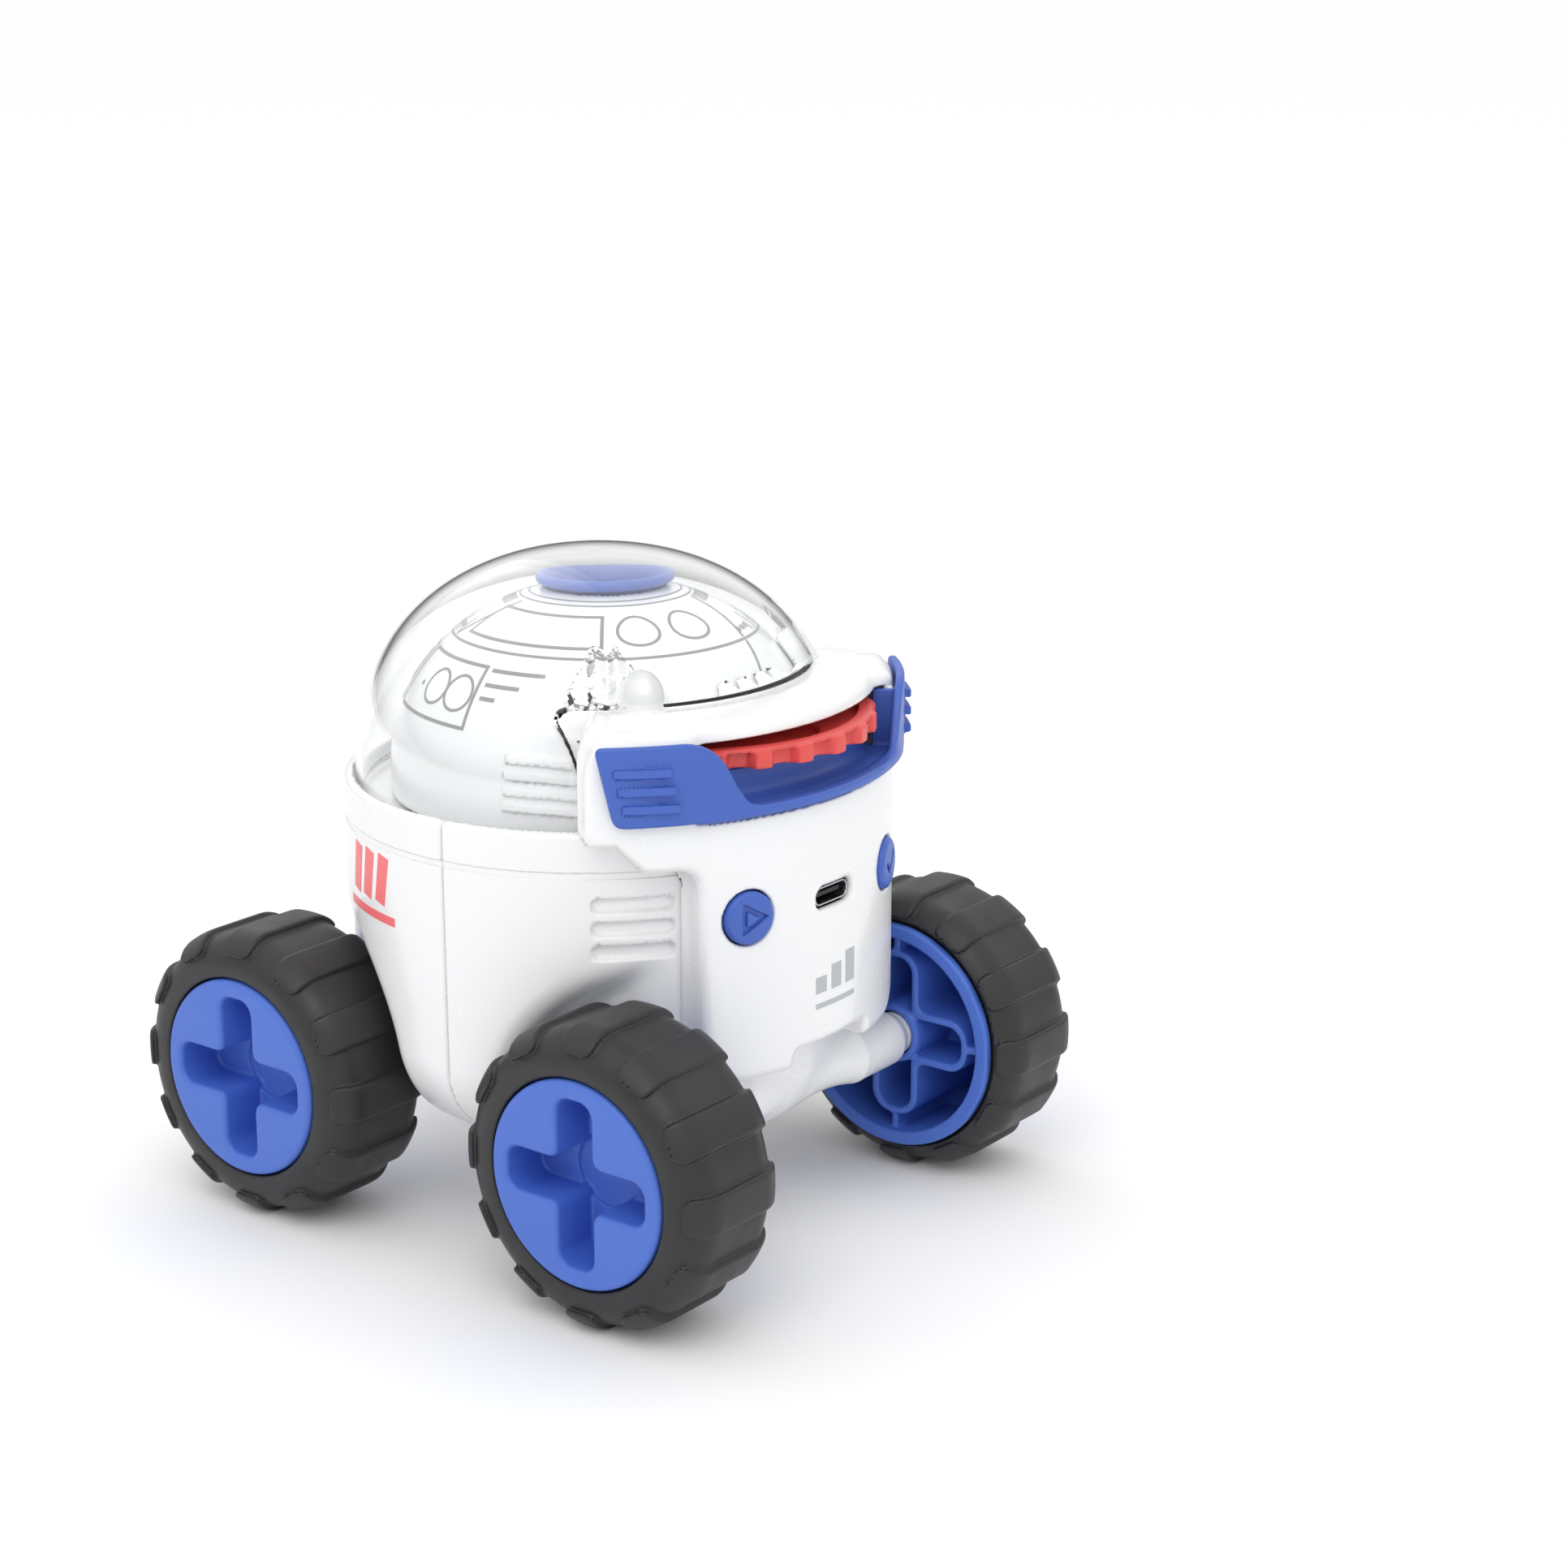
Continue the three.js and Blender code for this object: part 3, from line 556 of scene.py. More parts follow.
def tyre(x, y, z):
    """A round-shouldered carcass with broad pads, hollowed to sit on the hub."""
    q = np.hypot(y, z)
    middle = (TYRE_LO[0] + TYRE_HI[0]) / 2
    half = (TYRE_HI[0] - TYRE_LO[0]) / 2
    carcass = rect(x - middle, q - 17.4, half, TYRE_R - LUG_H - 17.4, 5.6)
    pitch = 360 / LUGS
    turn = (np.degrees(np.arctan2(z, y)) + pitch / 2) % pitch - pitch / 2
    pad = rect(arc_mm(turn, q), q - 30, 3.25, 30 - 21.6, 1.7)
    f = smin(carcass, smax(carcass - LUG_H, pad, 0.6), 0.4)
    seat = np.minimum(np.maximum(q - RIM_R - 0.2, x - TYRE_SEAT_X), np.maximum(q - FLANGE_R - 0.3, x - 32.9))
    seat = np.minimum(seat, q - FACE_R - 0.25)
    return cut(f, seat, 0.6)


def wheel_place(place):
    """Where a wheel's pieces go; the left wheels are turned half way round."""
    side = 1 if place.endswith("right") else -1
    along = -HALF_BASE if place.startswith("front") else HALF_BASE
    turn = Matrix.Identity(4) if side > 0 else Matrix.Rotation(math.pi, 4, "Z")
    return Matrix.Translation(Vector((0, along, WHEEL_Z)) * MM) @ turn


def wheels():
    r = TYRE_R + 0.5
    tyre_mesh = surface_mesh("tyre", tyre, (TYRE_LO[0], -r, -r), (TYRE_HI[0], r, r), 0.5)
    hub_mesh = surface_mesh("hub", hub, (FLANGE_X, -20.8, -20.8), (HUB_X, 20.8, 20.8), 0.42)
    pin_r = (PIN_HI[2] - PIN_LO[2]) / 2
    chamfer = 0.25
    pin = [(pin_r - chamfer, PIN_LO[0]), (pin_r, PIN_LO[0] + chamfer)]
    pin += [(pin_r, PIN_HI[0] - chamfer), (pin_r - chamfer, PIN_HI[0])]
    pin_mesh = lathe_mesh("axle_pin", [(0.01, PIN_LO[0]), *pin, (0.01, PIN_HI[0])], 32)
    pin_mesh.transform(Matrix.Rotation(math.pi / 2, 4, "Y"))
    for place in PLACES:
        where = wheel_place(place)
        wheel = f"wheel_{place}"
        add_piece(f"tread_{place}", tyre_mesh, wheel, RUBBER, [f"tyre_{place}"], where)
        add_piece(f"rim_{place}", hub_mesh, wheel, HUB_BLUE, [f"hub_{place}"], where)
        add_piece(f"pin_{place}", pin_mesh, wheel, STEEL, [f"axle_pin_{place}"], where)


# ---- front housing: panel, shoulders and cowl, moulded in one sweep ----
def housing_outline(x, z, turn):
    """The housing unrolled: its edge in arc length and height."""
    s = arc_mm(turn, PANEL_R)
    middle = (PANEL_Z0 + COWL_TOP + 10) / 2
    face = rect(s, z - middle, arc_mm(PANEL_HALF, PANEL_R), middle - PANEL_Z0, 8)
    under = SHOULDER_Z + 4.4 * np.clip((turn - 41) / 5, 0, 1)
    rear = smax(s - arc_mm(HOUSING_HALF, PANEL_R), z - COWL_TOP, 9)
    outline = smin(face, smax(under - z, rear, 2), 4.5)
    return cut(outline, rect(x, z - PANEL_Z0, 9.5, 3, 1.2), 1.2)


def cowl_bumps(x, y, z, rho, heading):
    """Round bosses and small wedges that stand on the cowl inside the dome's mouth."""
    bumps = []
    for lean in (-37, 37):
        bx = 32.6 * math.sin(math.radians(lean))
        by = BODY_Y - 32.6 * math.cos(math.radians(lean))
        bumps.append(np.sqrt((x - bx) ** 2 + (y - by) ** 2 + ((z - 92.6) / 1.45) ** 2) - 4.2)
    for lean in (-11, -4, 4, 11):
        clip = rect(arc_mm(heading - lean, 34), rho - 33.4, 1.6, 1.7, 0.4)
        bumps.append(smax(clip, z - 94.6 + 0.5 * (rho - 33.4), 0.4))
    f = np.minimum.reduce(np.broadcast_arrays(*bumps))
    return np.maximum(f, LIP_Z + 1 - z)


def housing(x, y, z):
    """The panel and the cowl, open at the visor, the dome's mouth, the buttons and the socket."""
    rho, heading = polar(x, y)
    turn = np.abs(heading)
    outline = housing_outline(x, z, turn)
    panel_r = PANEL_R - 1.2 * ramp(turn, 27, 36)
    skin = np.minimum(np.maximum(rho - panel_r, z - VISOR_Z0 + 0.3), rho - COWL_R)
    foot = 1.5 * np.clip((BODY_R + 2.2 - rho) / 2.2, 0, 1) ** 2  # a fillet onto the body
    block = smax(skin, outline - foot, 1.8)
    lip_r = LIP_R + (COWL_R - LIP_R) * ramp(turn, 28, 34)
    lid = z - COWL_TOP + 0.1 * np.maximum(rho - 39, 0)
    block = smax(block, smax(lid, np.minimum(rho - lip_r, z - LIP_Z), 3.2), 0.6)
    hollow = np.maximum(np.maximum(rho - 48.6, outline + 2.0), z - LIP_Z)
    f = cut(block, hollow, 0.5)
    window = np.maximum(turn - 31.5, slab(z, VISOR_Z0 - 0.3, LIP_Z))
    f = cut(f, np.maximum(window, 20 - rho), 0.6)
    mouth = np.maximum(np.abs(x) - MOUTH_X + 0.5, z - COWL_TOP - 0.1)
    f = cut(f, np.maximum(dome(x, y, z, DOME, 0.35), -mouth), 0.2)
    f = np.maximum(f, np.minimum(BODY_R + 0.06 - rho, COLLAR_Z + 0.1 - z))
    f = np.maximum(f, 28 - rho)
    f = np.maximum(f, np.minimum(42.2 - rho, LIP_Z - z))
    f = smin(f, cowl_bumps(x, y, z, rho, heading), 1.0)
    f = cut(f, dome(x, y, z, COVER, 0.3), 0.3)
    across = rho * np.sin(np.radians(turn - BUTTON_HEADING))
    holes = smax(np.hypot(across, z - CONTROL_Z) - BUTTON_R - 0.25, 30 - rho, 0.1)
    f = cut(f, np.maximum(holes, turn - 60), 0.5)
    return cut(f, np.maximum(rect(x, z - CONTROL_Z, 4.9, 2.0, 1.9), y + 40), 1.0)


def visor(x, y, z):
    """Two ribbed wings joined by a band, a tray under the dial and an end wall at each side of it."""
    rho, heading = polar(x, y)
    turn = np.abs(heading)
    s = arc_mm(turn, VISOR_R)
    end = arc_mm(47.3 + 2.7 * np.clip((z - 80.9) / 10.7, -0.2, 1), VISOR_R)
    edge = arc_mm(22.6 + 4.5 * (z - 80.5) / 8.2, VISOR_R)
    wing = smax(smax(s - end, VISOR_Z0 - z, 2.2), z - VISOR_Z1, 1.5)
    wing = cut(wing, smax(s - edge, 80.3 - z, 4.5), 5.5)
    band = smax(wing, slab(rho, COWL_R + 0.3, VISOR_R), 0.7)
    tray = smax(slab(z, VISOR_Z0, VISOR_Z0 + 1.6), slab(rho, TRAY_R, VISOR_R), 0.5)
    wall = smax(slab(rho, TRAY_R, 45.2), slab(z, VISOR_Z0, DIAL_LO[2] - 0.4), 0.5)
    floor = smax(smin(tray, wall, 2.0), arc_mm(turn - 30.2, 48), 0.3)
    f = smax(smax(smin(band, floor, 1.6), VISOR_Z0 - z, 0.9), rho - VISOR_R, 0.7)
    dial_end = smax(slab(arc_mm(turn - 30.7, 48), -0.5, 0.5), slab(z, VISOR_Z0, LIP_Z - 0.3), 0.2)
    f = smin(f, np.maximum(dial_end, slab(rho, 46.9, 51)), 0.6)
    for row in VISOR_ROWS:
        middle = 41 + 0.25 * (row - VISOR_ROWS[1])
        bar = rect(arc_mm(turn - middle, VISOR_R), z - row, arc_mm(5, VISOR_R), 0.72, 0.3)
        proud = VISOR_R + 0.3 + 0.7 * np.clip((middle + 5 - turn) / 10, 0, 1)
        f = smin(f, smax(bar, slab(rho, VISOR_R - 1, proud), 0.2), 0.1)
    return f


def picture_dial(x, y, z):
    """A toothed disc with a ring of picture windows."""
    rr = np.hypot(x - DIAL_AT[0], y - DIAL_AT[1])
    pitch = 360 / DIAL_TEETH
    at = np.degrees(np.arctan2(x - DIAL_AT[0], DIAL_AT[1] - y))
    s = arc_mm((at + pitch / 2) % pitch - pitch / 2, rr)
    tip = DIAL_AT[1] - DIAL_LO[1] - 0.05
    tooth = smax(rr - tip, np.abs(s) - 1.35 - 0.45 * (tip - rr), 0.35)
    tooth = smax(tooth, slab(z, DIAL_LO[2], DIAL_HI[2] - 0.3), 0.35)
    disc = smax(rr - tip + 2.0, slab(z, DIAL_LO[2], DIAL_HI[2]), 0.4)
    flange = smax(rr - tip + 0.7, slab(z, DIAL_HI[2] - 0.7, DIAL_HI[2]), 0.3)
    f = smin(np.minimum(disc, flange), np.maximum(tooth, 20 - rr), 0.4)
    web = slab(z, DIAL_LO[2] + 0.8, DIAL_LO[2] + 2.2)
    f = cut(f, np.maximum(rr - tip + 3.2, -web), 0.3)
    window = np.full_like(f, 99.0)
    for i in range(DIAL_WINDOWS):
        a = 2 * math.pi * i / DIAL_WINDOWS
        wx = DIAL_AT[0] - DIAL_AT[1] * math.sin(a)
        wy = DIAL_AT[1] - DIAL_AT[1] * math.cos(a)
        window = np.minimum(window, np.hypot(x - wx, y - wy) - DIAL_WINDOW_R)
    window = smax(window, DIAL_LO[2] + 1.5 - z, 0.2)  # the floor left in each window stands for its film
    return np.maximum(cut(f, window, 0.3), 1.6 - rr)


def front_module():
    low = (-42, PANEL_LO[1], PANEL_Z0)
    mesh = surface_mesh("front_housing", housing, low, (42, -12, 99), 0.5)
    add_piece("front_housing", mesh, "chassis", WHITE, ["front_panel", "front_cowl"])
    low = (VISOR_LO[0] - 1, VISOR_LO[1], VISOR_Z0)
    mesh = surface_mesh("visor_moulding", visor, low, (VISOR_HI[0] + 1, -28, VISOR_Z1), 0.45)
    add_piece("visor_moulding", mesh, "chassis", BLUE, ["visor"])
    low = (DIAL_LO[0], DIAL_LO[1], DIAL_LO[2])
    mesh = surface_mesh("toothed_dial", picture_dial, low, tuple(DIAL_HI), 0.42)
    add_piece("toothed_dial", mesh, "dial", RED, ["picture_dial"])


# ---- controls ----
def segment(u, v, a, b):
    """Distance to the line from a to b."""
    along = ((u - a[0]) * (b[0] - a[0]) + (v - a[1]) * (b[1] - a[1])) / math.dist(a, b) ** 2
    t = np.clip(along, 0, 1)
    return np.hypot(u - a[0] - t * (b[0] - a[0]), v - a[1] - t * (b[1] - a[1]))


def play_mark(u, v):
    """The outline of a triangle that points forwards."""
    return np.abs(smax(-u, 0.5 * u + 0.866 * np.abs(v), 0.5) - 1.2) - 0.4


def tick_mark(u, v):
    """A tick of two strokes."""
    corner = (-0.5, -1.3)
    return np.minimum(segment(u, v, (-1.8, 0.1), corner), segment(u, v, corner, (1.9, 1.6))) - 0.42


def button(side, mark):
    """The field of a domed cap with a sunk mark and a stem, on one side of the panel."""
    a = math.radians(side * BUTTON_HEADING)

    def field(x, y, z):
        u = x * math.cos(a) + (y - BODY_Y) * math.sin(a)
        w = x * math.sin(a) - (y - BODY_Y) * math.cos(a)
        v = z - CONTROL_Z
        q = np.hypot(u, v)
        face = PANEL_R + 0.9 - 0.012 * q * q
        cap = smax(smax(q - BUTTON_R + 0.05, w - face, 0.9), PANEL_R - 2.6 - w, 0.3)
        cap = cut(cap, np.maximum(mark(u, v), face - 0.7 - w), 0.25)
        return smin(cap, smax(q - 2.6, slab(w, BODY_R - 1, PANEL_R - 2), 0.3), 0.5)

    return field


def controls():
    for name, side, mark in (("play", -1, play_mark), ("confirm", 1, tick_mark)):
        low, high = box_mm(f"{name}_button")
        mesh = surface_mesh(f"{name}_cap", button(side, mark), low, high, 0.22)
        add_piece(f"{name}_cap", mesh, name, BLUE, [f"{name}_button"])

    def socket(x, y, z):
        outline = rect(x, z - CONTROL_Z, 4.45, 1.55, 1.5)
        f = smax(outline, slab(y, -47.6, -40), 0.15)
        return cut(f, np.maximum(outline + 0.3, y + 40.8), 0.1)

    low, high = box_mm("charging_socket")
    mesh = surface_mesh("socket_shell", socket, low, high, 0.16)
    add_piece("socket_shell", mesh, "chassis", STEEL, ["charging_socket"])


# ---- domes and projector ----
def mouth_box(x, y, z, grow=0.0):
    """The straight-sided opening at the front of the clear dome."""
    half = MOUTH_X + grow
    top = COWL_TOP + 0.3 + grow
    return np.maximum(rect(x, z - top + 40, half, 40, 2.5), y - BODY_Y)


def crystal_lug(x, y, z, side):
    """A faceted gable of clear plastic inside the dome, over each corner of its mouth."""
    a = math.radians(side * 46.5)
    out = x * math.sin(a) - (y - BODY_Y) * math.cos(a)
    along = np.abs(x * math.cos(a) + (y - BODY_Y) * math.sin(a))
    rise = z - COWL_TOP
    gable = np.maximum(0.6 * rise + 0.8 * along - 6.4, 0.35 - rise)
    facets = 1.5 * np.abs((along / 3.2) % 1 - 0.5) + 0.8 * np.abs((rise / 4.6) % 1 - 0.5)
    front = 0.6 * (33.0 - 0.62 * rise + 2 * facets - out)
    return np.maximum(np.maximum(gable, front), along - 6.6)


def clear_dome(x, y, z):
    """The clear shell, open at the front, with a lug over each corner of its mouth."""
    outer = dome(x, y, z, DOME)
    wall = smax(outer, -dome(x, y, z, DOME_IN), 0.2)
    wall = smax(wall, DOME_LO[2] - z, 0.3)
    f = cut(wall, mouth_box(x, y, z), 0.5)
    for side in (-1, 1):
        lug = np.maximum(crystal_lug(x, y, z, side), dome(x, y, z, DOME, -0.6))
        f = np.minimum(f, lug)
    return cut(f, dome(x, y, z, COVER, 0.4), 0.1)


def cover(x, y, z):
    """The white inner dome: its bulge round the dial, its ridges, and room for the dial and light."""
    from_dial = np.hypot(x - DIAL_AT[0], y - DIAL_AT[1])
    dial_r = DIAL_AT[1] - DIAL_LO[1]
    bulge = smax(from_dial - dial_r - 1.2, z - FAIRING_Z, 1.6)
    solid = smin(dome(x, y, z, COVER), bulge, 2.5)
    turn = np.degrees(np.arctan2(np.abs(x), -y))
    for i in range(4):
        row = 77.6 + 2.5 * i
        ridge = rect(arc_mm(turn - 64, COVER["a"]), z - row, 8, 0.8, 0.6)
        solid = smin(solid, smax(ridge, solid - 0.6, 0.4), 0.3)
    within = np.minimum(dome(x, y, z, DOME_IN, -0.25), np.maximum(np.abs(x) - MOUTH_X + 0.6, y + 23))
    solid = smax(solid, within, 0.3)
    room = np.maximum(from_dial - dial_r - 0.3, z - DIAL_HI[2] - 0.3)
    f = cut(solid, np.minimum(dome(x, y, z, COVER, -COVER_T), room), 0.3)
    f = smax(f, COVER_LO[2] - z, 0.3)
    f = cut(f, np.maximum(y + 30, z - LIP_Z - 0.8), 0.4)
    f = np.maximum(f, np.minimum(np.hypot(x, y - BODY_Y) - 41, COLLAR_Z + 0.4 - z))
    return np.maximum(f, BEZEL_R - 1.5 - np.hypot(x, y))


def projector():
    mesh = surface_mesh("dome_moulding", clear_dome, DOME_LO, DOME_HI, 0.55)
    bubble = add_piece("dome_moulding", mesh, "chassis", CLEAR, ["clear_dome"])
    bubble.visible_shadow = False  # light falls through it onto the white cover
    high = (COVER_HI[0] + 1, COVER_HI[1] + 1, COVER_HI[2])
    low = (COVER_LO[0] - 1, COVER_LO[1] - 1, COVER_LO[2])
    mesh = surface_mesh("inner_cover", cover, low, high, 0.55)
    add_piece("inner_cover", mesh, "chassis", WHITE, ["projector_cover"])

    rim_z = BEZEL_Z + 0.1
    rim = [(8.9, 104.4), (9.7, 104.4), (9.7, rim_z - 0.8)]
    rim += arc_points(BEZEL_R - 0.75, rim_z, 0.75, -90, 110, 12)
    rim += [(9.9, BEZEL_Z - 0.2), (9.2, BEZEL_Z - 1.4)]
    mesh = lathe_mesh("bezel_ring", rim)
    add_piece("bezel_ring", mesh, "chassis", BLUE, ["bezel"])
    mesh = lathe_mesh("barrel_tube", [(7.2, 90.4), (8.6, 90.4), (8.6, 104.3), (8.2, 104.5), (7.2, 104.5)])
    add_piece("barrel_tube", mesh, "chassis", BLACK, ["lens_barrel"])
    glass = [(0.01, 98.2), (3.5, 98.5), (6.9, 99.3), (6.9, 101)]
    glass += [(6.9 * math.cos(a), 101 + 2.4 * math.sin(a)) for a in np.radians([15, 30, 45, 60, 75])]
    mesh = lathe_mesh("lens_glass", [*glass, (0.01, 103.4)])
    add_piece("lens_glass", mesh, "chassis", CLEAR, ["lens"])


# ---- rear door and belly screws ----
def rear_door(x, y, z):
    """A curved door with a ledge and three holes."""
    rho, _ = polar(x, y)
    middle = (DOOR_LO[2] + DOOR_HI[2]) / 2
    outline = rect(x, z - middle, DOOR_HI[0], middle - DOOR_LO[2], 3.4)
    f = smax(outline, slab(rho, BODY_R - 1.8, BODY_R + 0.5), 0.9)
    back = BODY_R + BODY_Y
    ledge = smax(rect(x, z - LEDGE_Z, 10.8, 0.85, 0.5), slab(y, back - 2, back + 2.1 - 0.004 * x * x), 0.5)
    f = smin(f, ledge, 0.9)
    for hole in DOOR_HOLES:
        f = cut(f, np.hypot(x - hole, z - DOOR_HOLE_Z) - 1.45, 0.5)
    return np.maximum(f, 30 - y)


def belly_screw(x, y, z):
    """A screw with a cross in its head, pointing up."""
    q = np.hypot(x, y)
    head = smax(q - 2, slab(z, 14.7, 15.4), 0.3)
    cross = np.minimum(rect(x, y, 1.3, 0.28, 0.1), rect(x, y, 0.28, 1.3, 0.1))
    f = cut(head, np.maximum(cross, z - 15.15), 0.1)
    return smin(f, smax(q - 1, slab(z, 15.2, 19.6), 0.2), 0.2)


def rear_and_belly():
    mesh = surface_mesh("door_moulding", rear_door, DOOR_LO, DOOR_HI, 0.4)
    add_piece("door_moulding", mesh, "chassis", WHITE, ["rear_door"])
    mesh = surface_mesh("cross_screw", belly_screw, (-2, -2, 14.7), (2, 2, 19.6), 0.14)
    for i in range(1, 5):
        low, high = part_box(f"belly_screw_{i}")
        at = (low + high) / 2
        where = Matrix.Translation((at.x, at.y, 0))
        add_piece(f"cross_screw_{i}", mesh, "chassis", STEEL, [f"belly_screw_{i}"], where)


# ---- printed marks: thin ribbons laid on a surface ----
def on_cover(heading, z):
    """Point and outward normal on the inner cover, at a heading about its own axis."""
    up = max(z - COVER["z"], 0) / COVER["c"]
    n = COVER["n"]
    r = COVER["a"] * (1 - up**n) ** (1 / n)
    a = math.radians(heading)
    out = Vector((math.sin(a), -math.cos(a), 0))
    slope = (r / COVER["a"]) ** (n - 1) / COVER["a"]
    rise = up ** (n - 1) / COVER["c"]
    return Vector((0, 0, z)) + out * r, (out * slope + Vector((0, 0, rise))).normalized()


def on_drum(radius):
    """Points on an upright cylinder about the body's axis, from a heading and a height."""
    def place(heading, z):
        a = math.radians(heading)
        out = Vector((math.sin(a), -math.cos(a), 0))
        return Vector((0, BODY_Y, z)) + out * radius, out
    return place


def ribbon(bm, place, path, width, closed=False, proud=0.06, sunk=0.04):
    """A thin closed strip along a path of (heading, height) points."""
    points, normals = zip(*(place(*p) for p in path))
    count = len(points)
    rings = []
    for i in range(count):
        before = points[i - 1] if closed or i else None
        after = points[(i + 1) % count] if closed or i < count - 1 else None
        inward = (points[i] - before).normalized() if before is not None else None
        onward = (after - points[i]).normalized() if after is not None else None
        first = inward if inward is not None else onward
        second = onward if onward is not None else inward
        side = ((first + second).cross(normals[i])).normalized()
        across = first.cross(normals[i]).normalized()
        reach = width / 2 / max(side.dot(across), 0.5)
        ring = []
        for e, h in ((-1, -sunk), (1, -sunk), (1, proud), (-1, proud)):
            ring.append(bm.verts.new((points[i] + side * (e * reach) + normals[i] * h) * MM))
        rings.append(ring)
    pairs = list(zip(rings, rings[1:]))
    if closed:
        pairs.append((rings[-1], rings[0]))
    else:
        bm.faces.new(rings[0])
        bm.faces.new(rings[-1][::-1])
    for a, b in pairs:
        for k in range(4):
            j = (k + 1) % 4
            bm.faces.new((a[k], a[j], b[j], b[k]))


def line(a, b, step=2.5):
    """Points from a to b, close enough together to follow a curved surface."""
    count = max(1, math.ceil(abs(b[0] - a[0]) / step), math.ceil(abs(b[1] - a[1]) / 1.5))
    return [(a[0] + (b[0] - a[0]) * i / count, a[1] + (b[1] - a[1]) * i / count) for i in range(count + 1)]


def loop(*corners):
    """A closed path through the corners."""
    path = []
    for a, b in zip(corners, corners[1:] + corners[:1]):
        path += line(a, b)[:-1]
    return path


def frame_path(h0, h1, z0, z1):
    return loop((h0, z0), (h1, z0), (h1, z1), (h0, z1))


def ring_path(heading, z, r, count=40):
    """A circle of radius r millimetres on the inner cover."""
    centre, normal = on_cover(heading, z)
    radius = math.hypot(centre.x, centre.y)
    rise = math.hypot(normal.x, normal.y)
    path = []
    for i in range(count):
        a = 2 * math.pi * i / count
        path.append((heading + math.degrees(r * math.cos(a) / radius), z + r * math.sin(a) * rise))
    return path


def cover_art(bm):
    """Rings, ticks, frames, circles and dots printed on the inner cover."""

    def draw(path, width=0.6, closed=False):
        ribbon(bm, on_cover, path, width, closed)

    def dots(headings, z, r):
        for heading in headings:
            draw(ring_path(heading, z, r / 2, 12), r * 0.98, True)

    def circle(z, width):
        draw([(4.5 * i, z) for i in range(80)], width, True)

    circle(105.75, 0.35)
    circle(105.3, 0.35)
    circle(99.3, 0.5)
    for i in range(74):
        heading = 25 + 210 * i / 73
        draw(line((heading, 105.1), (heading, 104.2)), 0.28)
    for i in range(42):
        heading = 27 + 205 * i / 41
        draw(line((heading, 99.7), (heading, 102.0 if i % 2 else 100.9)), 0.35)
    draw(frame_path(180, 224.5, 88.3, 97.2), closed=True)
    draw(frame_path(184, 220, 91.3, 95.7), closed=True)
    dots((186, 189.6, 193.2), 89.8, 0.5)
    draw(frame_path(120, 174, 88.3, 97.2), closed=True)
    draw(frame_path(155, 171, 89.4, 95.6), closed=True)
    for z in (90.2, 92.3, 94.4):
        draw(line((127, z), (148, z)), 0.8)
    draw(frame_path(-131, -92, 88.3, 97.2), closed=True)
    for heading in (-98.8, -110.4):
        draw(ring_path(heading, 93, 3.1), 0.5, True)
    dots((-120,), 92.6, 0.45)
    for z, end in ((96.9, -69.4), (94.9, -77), (93.0, -84)):
        draw(line((-89.5, z), (end, z)), 0.7)
    draw(frame_path(-118, -51, 100.6, 104.2), closed=True)
    for heading in (-34.6, -8.7):
        draw(ring_path(heading, 102.5, 3.4), 0.5, True)
    dots((16, 20, 24), 100.5, 0.6)
    dots((-139, -135, -131), 100.7, 0.6)
    draw(line((21, 105.0), (13.5, 99.6)))
    draw(line((13, 99.0), (7, 94.6)))
    draw(line((-114, 105.0), (-127, 99.6)))


def stripe_badge(bm, side):
    """A badge of slanted stripes over a thin bar, on the flank."""
    place = on_drum(BODY_R)
    middle = side * 110

    def at(s, z):
        return middle + math.degrees(s / BODY_R), z

    for i in range(3):
        s = -6.2 + 4.6 * i
        ribbon(bm, place, line(at(s, 58.2), at(s + 1.6, 66.6), 1), 3.0)
    ribbon(bm, place, line(at(-9.6, 55.8), at(7.4, 55.8), 1.5), 1.5)


def panel_badge(bm):
    """Three bars of rising height over a thin bar, low on the front panel."""
    place = on_drum(PANEL_R)

    def at(s, z):
        return math.degrees(s / PANEL_R), z

    for i in range(3):
        ribbon(bm, place, line(at(-3.9 + 3.9 * i, 45.4), at(-3.9 + 3.9 * i, 48.2 + 1.4 * i), 1), 2.6)
    ribbon(bm, place, line(at(-5.2, 43.2), at(5.2, 43.2), 1.5), 0.9)


def printed(name, draw, made_of, slot, *settings):
    """A piece made of ribbons."""
    mesh = bpy.data.meshes.new(name)
    bm = bmesh.new()
    draw(bm, *settings)
    bmesh.ops.recalc_face_normals(bm, faces=bm.faces)
    bm.to_mesh(mesh)
    bm.free()
    add_piece(name, mesh, "chassis", made_of)


def prints():
    printed("cover_lines", cover_art, LINE_PRINT, "black_plastic")
    printed("flank_badge_left", stripe_badge, CORAL, "red_plastic", -1)
    printed("flank_badge_right", stripe_badge, CORAL, "red_plastic", 1)
    printed("panel_badge", panel_badge, GREY_PRINT, "black_plastic")


# ---- what stays as the CAD made it ----
def carried_over():
    """Gives the nodes that are kept from the frame their materials."""
    looks = {
        "projector_deck": WHITE, "lamp_board": BOARD, "main_board": BOARD, "lamp_housing": BLACK,
        "dial_spindle": STEEL, "play_switch": BLACK, "confirm_switch": BLACK, "speaker": BLACK,
        "charging_tongue": BLACK, "battery": WRAP, **{f"axle_bush_{place}": BRONZE for place in PLACES},
    }
    for node, look in looks.items():
        mesh = frame["nodes"][node].data
        mesh.materials.clear()
        mesh.materials.append(look)


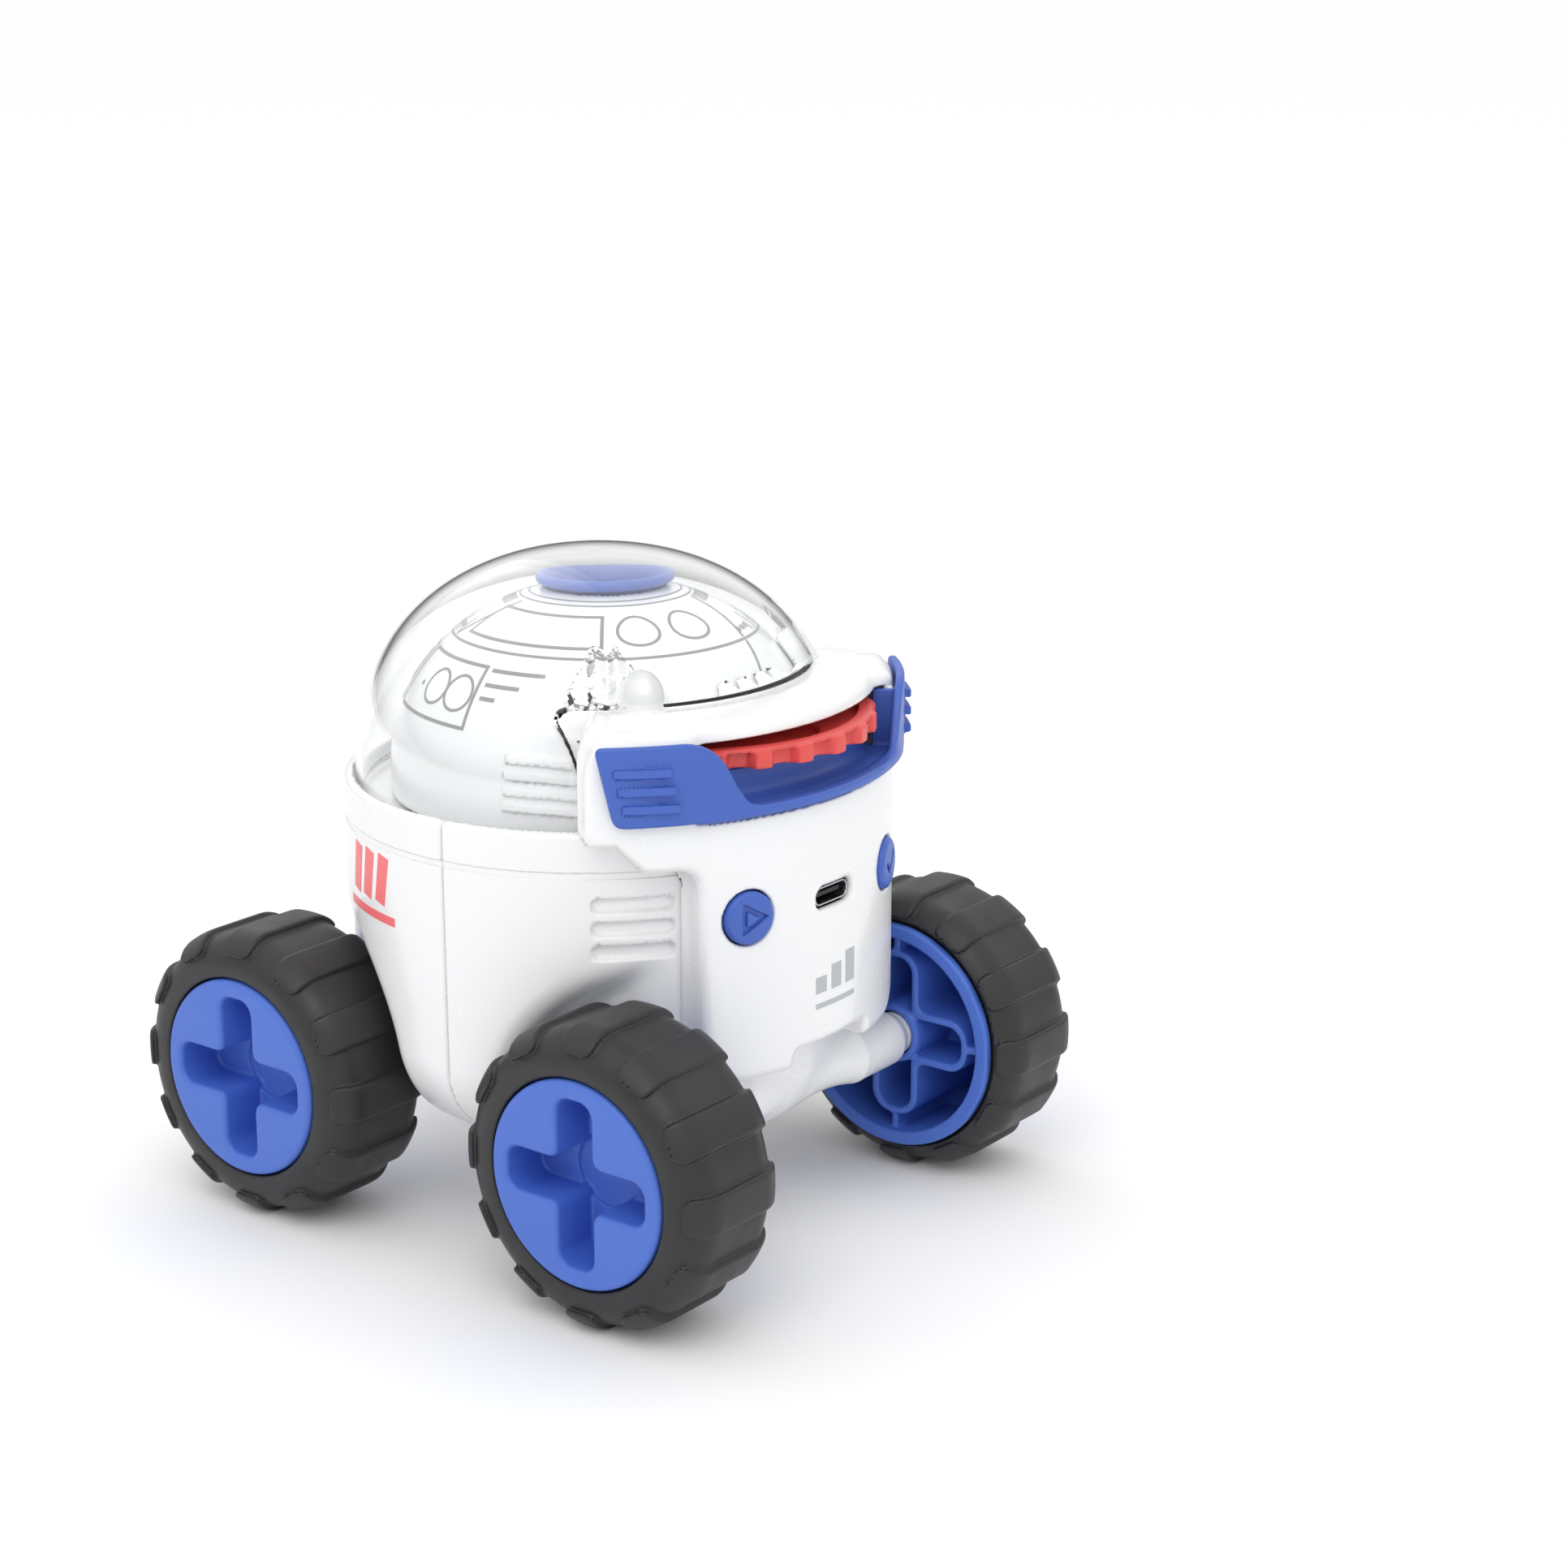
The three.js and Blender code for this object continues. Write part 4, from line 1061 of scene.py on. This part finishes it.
# ---- studio ----
def studio():
    """A pale floor, a soft sky that is darker low down, and two softboxes."""
    mesh = bpy.data.meshes.new("floor")
    half = 100
    corners = [(-half, -half, 0), (half, -half, 0), (half, half, 0), (-half, half, 0)]
    mesh.from_pydata(corners, [], [(0, 1, 2, 3)])
    floor = bpy.data.objects.new("floor", mesh)
    bpy.context.scene.collection.objects.link(floor)
    mesh.materials.append(material("floor_white", (0.96, 0.96, 0.965), 1.0, Specular_IOR_Level=0.0)[0])

    world = bpy.data.worlds.new("studio")
    bpy.context.scene.world = world
    world.use_nodes = True
    nodes = world.node_tree.nodes
    links = world.node_tree.links
    direction = nodes.new("ShaderNodeTexCoord")
    split = nodes.new("ShaderNodeSeparateXYZ")
    ramp_node = nodes.new("ShaderNodeValToRGB")
    links.new(direction.outputs["Generated"], split.inputs[0])
    links.new(split.outputs["Z"], ramp_node.inputs["Fac"])
    ramp_of = ramp_node.color_ramp
    ramp_of.elements[0].color = (0.05, 0.05, 0.055, 1)
    ramp_of.elements[1].position = 0.5
    ramp_of.elements[1].color = (1, 1, 1, 1)
    for position, level in ((0.08, 0.3), (0.2, 0.88)):
        ramp_of.elements.new(position).color = (level, level, level, 1)
    links.new(ramp_node.outputs["Color"], nodes["Background"].inputs["Color"])
    nodes["Background"].inputs["Strength"].default_value = 1.06

    softbox("key", (-0.9, -0.5, 1.3), 1.0, 5)
    softbox("back", (0.5, 1.2, 1.0), 1.0, 1.5)


def softbox(name, at, size, power):
    """A square area light aimed at the object."""
    light = bpy.data.lights.new(name, "AREA")
    light.shape = "SQUARE"
    light.size = size
    light.energy = power
    lamp = bpy.data.objects.new(name, light)
    bpy.context.scene.collection.objects.link(lamp)
    lamp.location = at
    lamp.rotation_euler = (Vector((0, 0, 0.05)) - Vector(at)).to_track_quat("-Z", "Y").to_euler()


def camera():
    """The eye looks at the target from a heading, a height angle and a distance."""
    lens = bpy.data.cameras.new("camera")
    lens.lens = 70.32
    lens.sensor_width = 36
    eye = bpy.data.objects.new("camera", lens)
    bpy.context.scene.collection.objects.link(eye)
    target = Vector((18.67, -23.57, 71.4)) * MM
    azimuth = math.radians(-52.552)
    elevation = math.radians(15.908)
    distance = 0.5249
    back = Vector((
        math.sin(azimuth) * math.cos(elevation),
        -math.cos(azimuth) * math.cos(elevation),
        math.sin(elevation),
    ))
    eye.location = target + back * distance
    eye.rotation_euler = back.to_track_quat("Z", "Y").to_euler()
    bpy.context.scene.camera = eye
    bpy.context.scene.view_settings.view_transform = "Standard"


body_shells()
wheels()
front_module()
controls()
projector()
rear_and_belly()
prints()
carried_over()
studio()
camera()
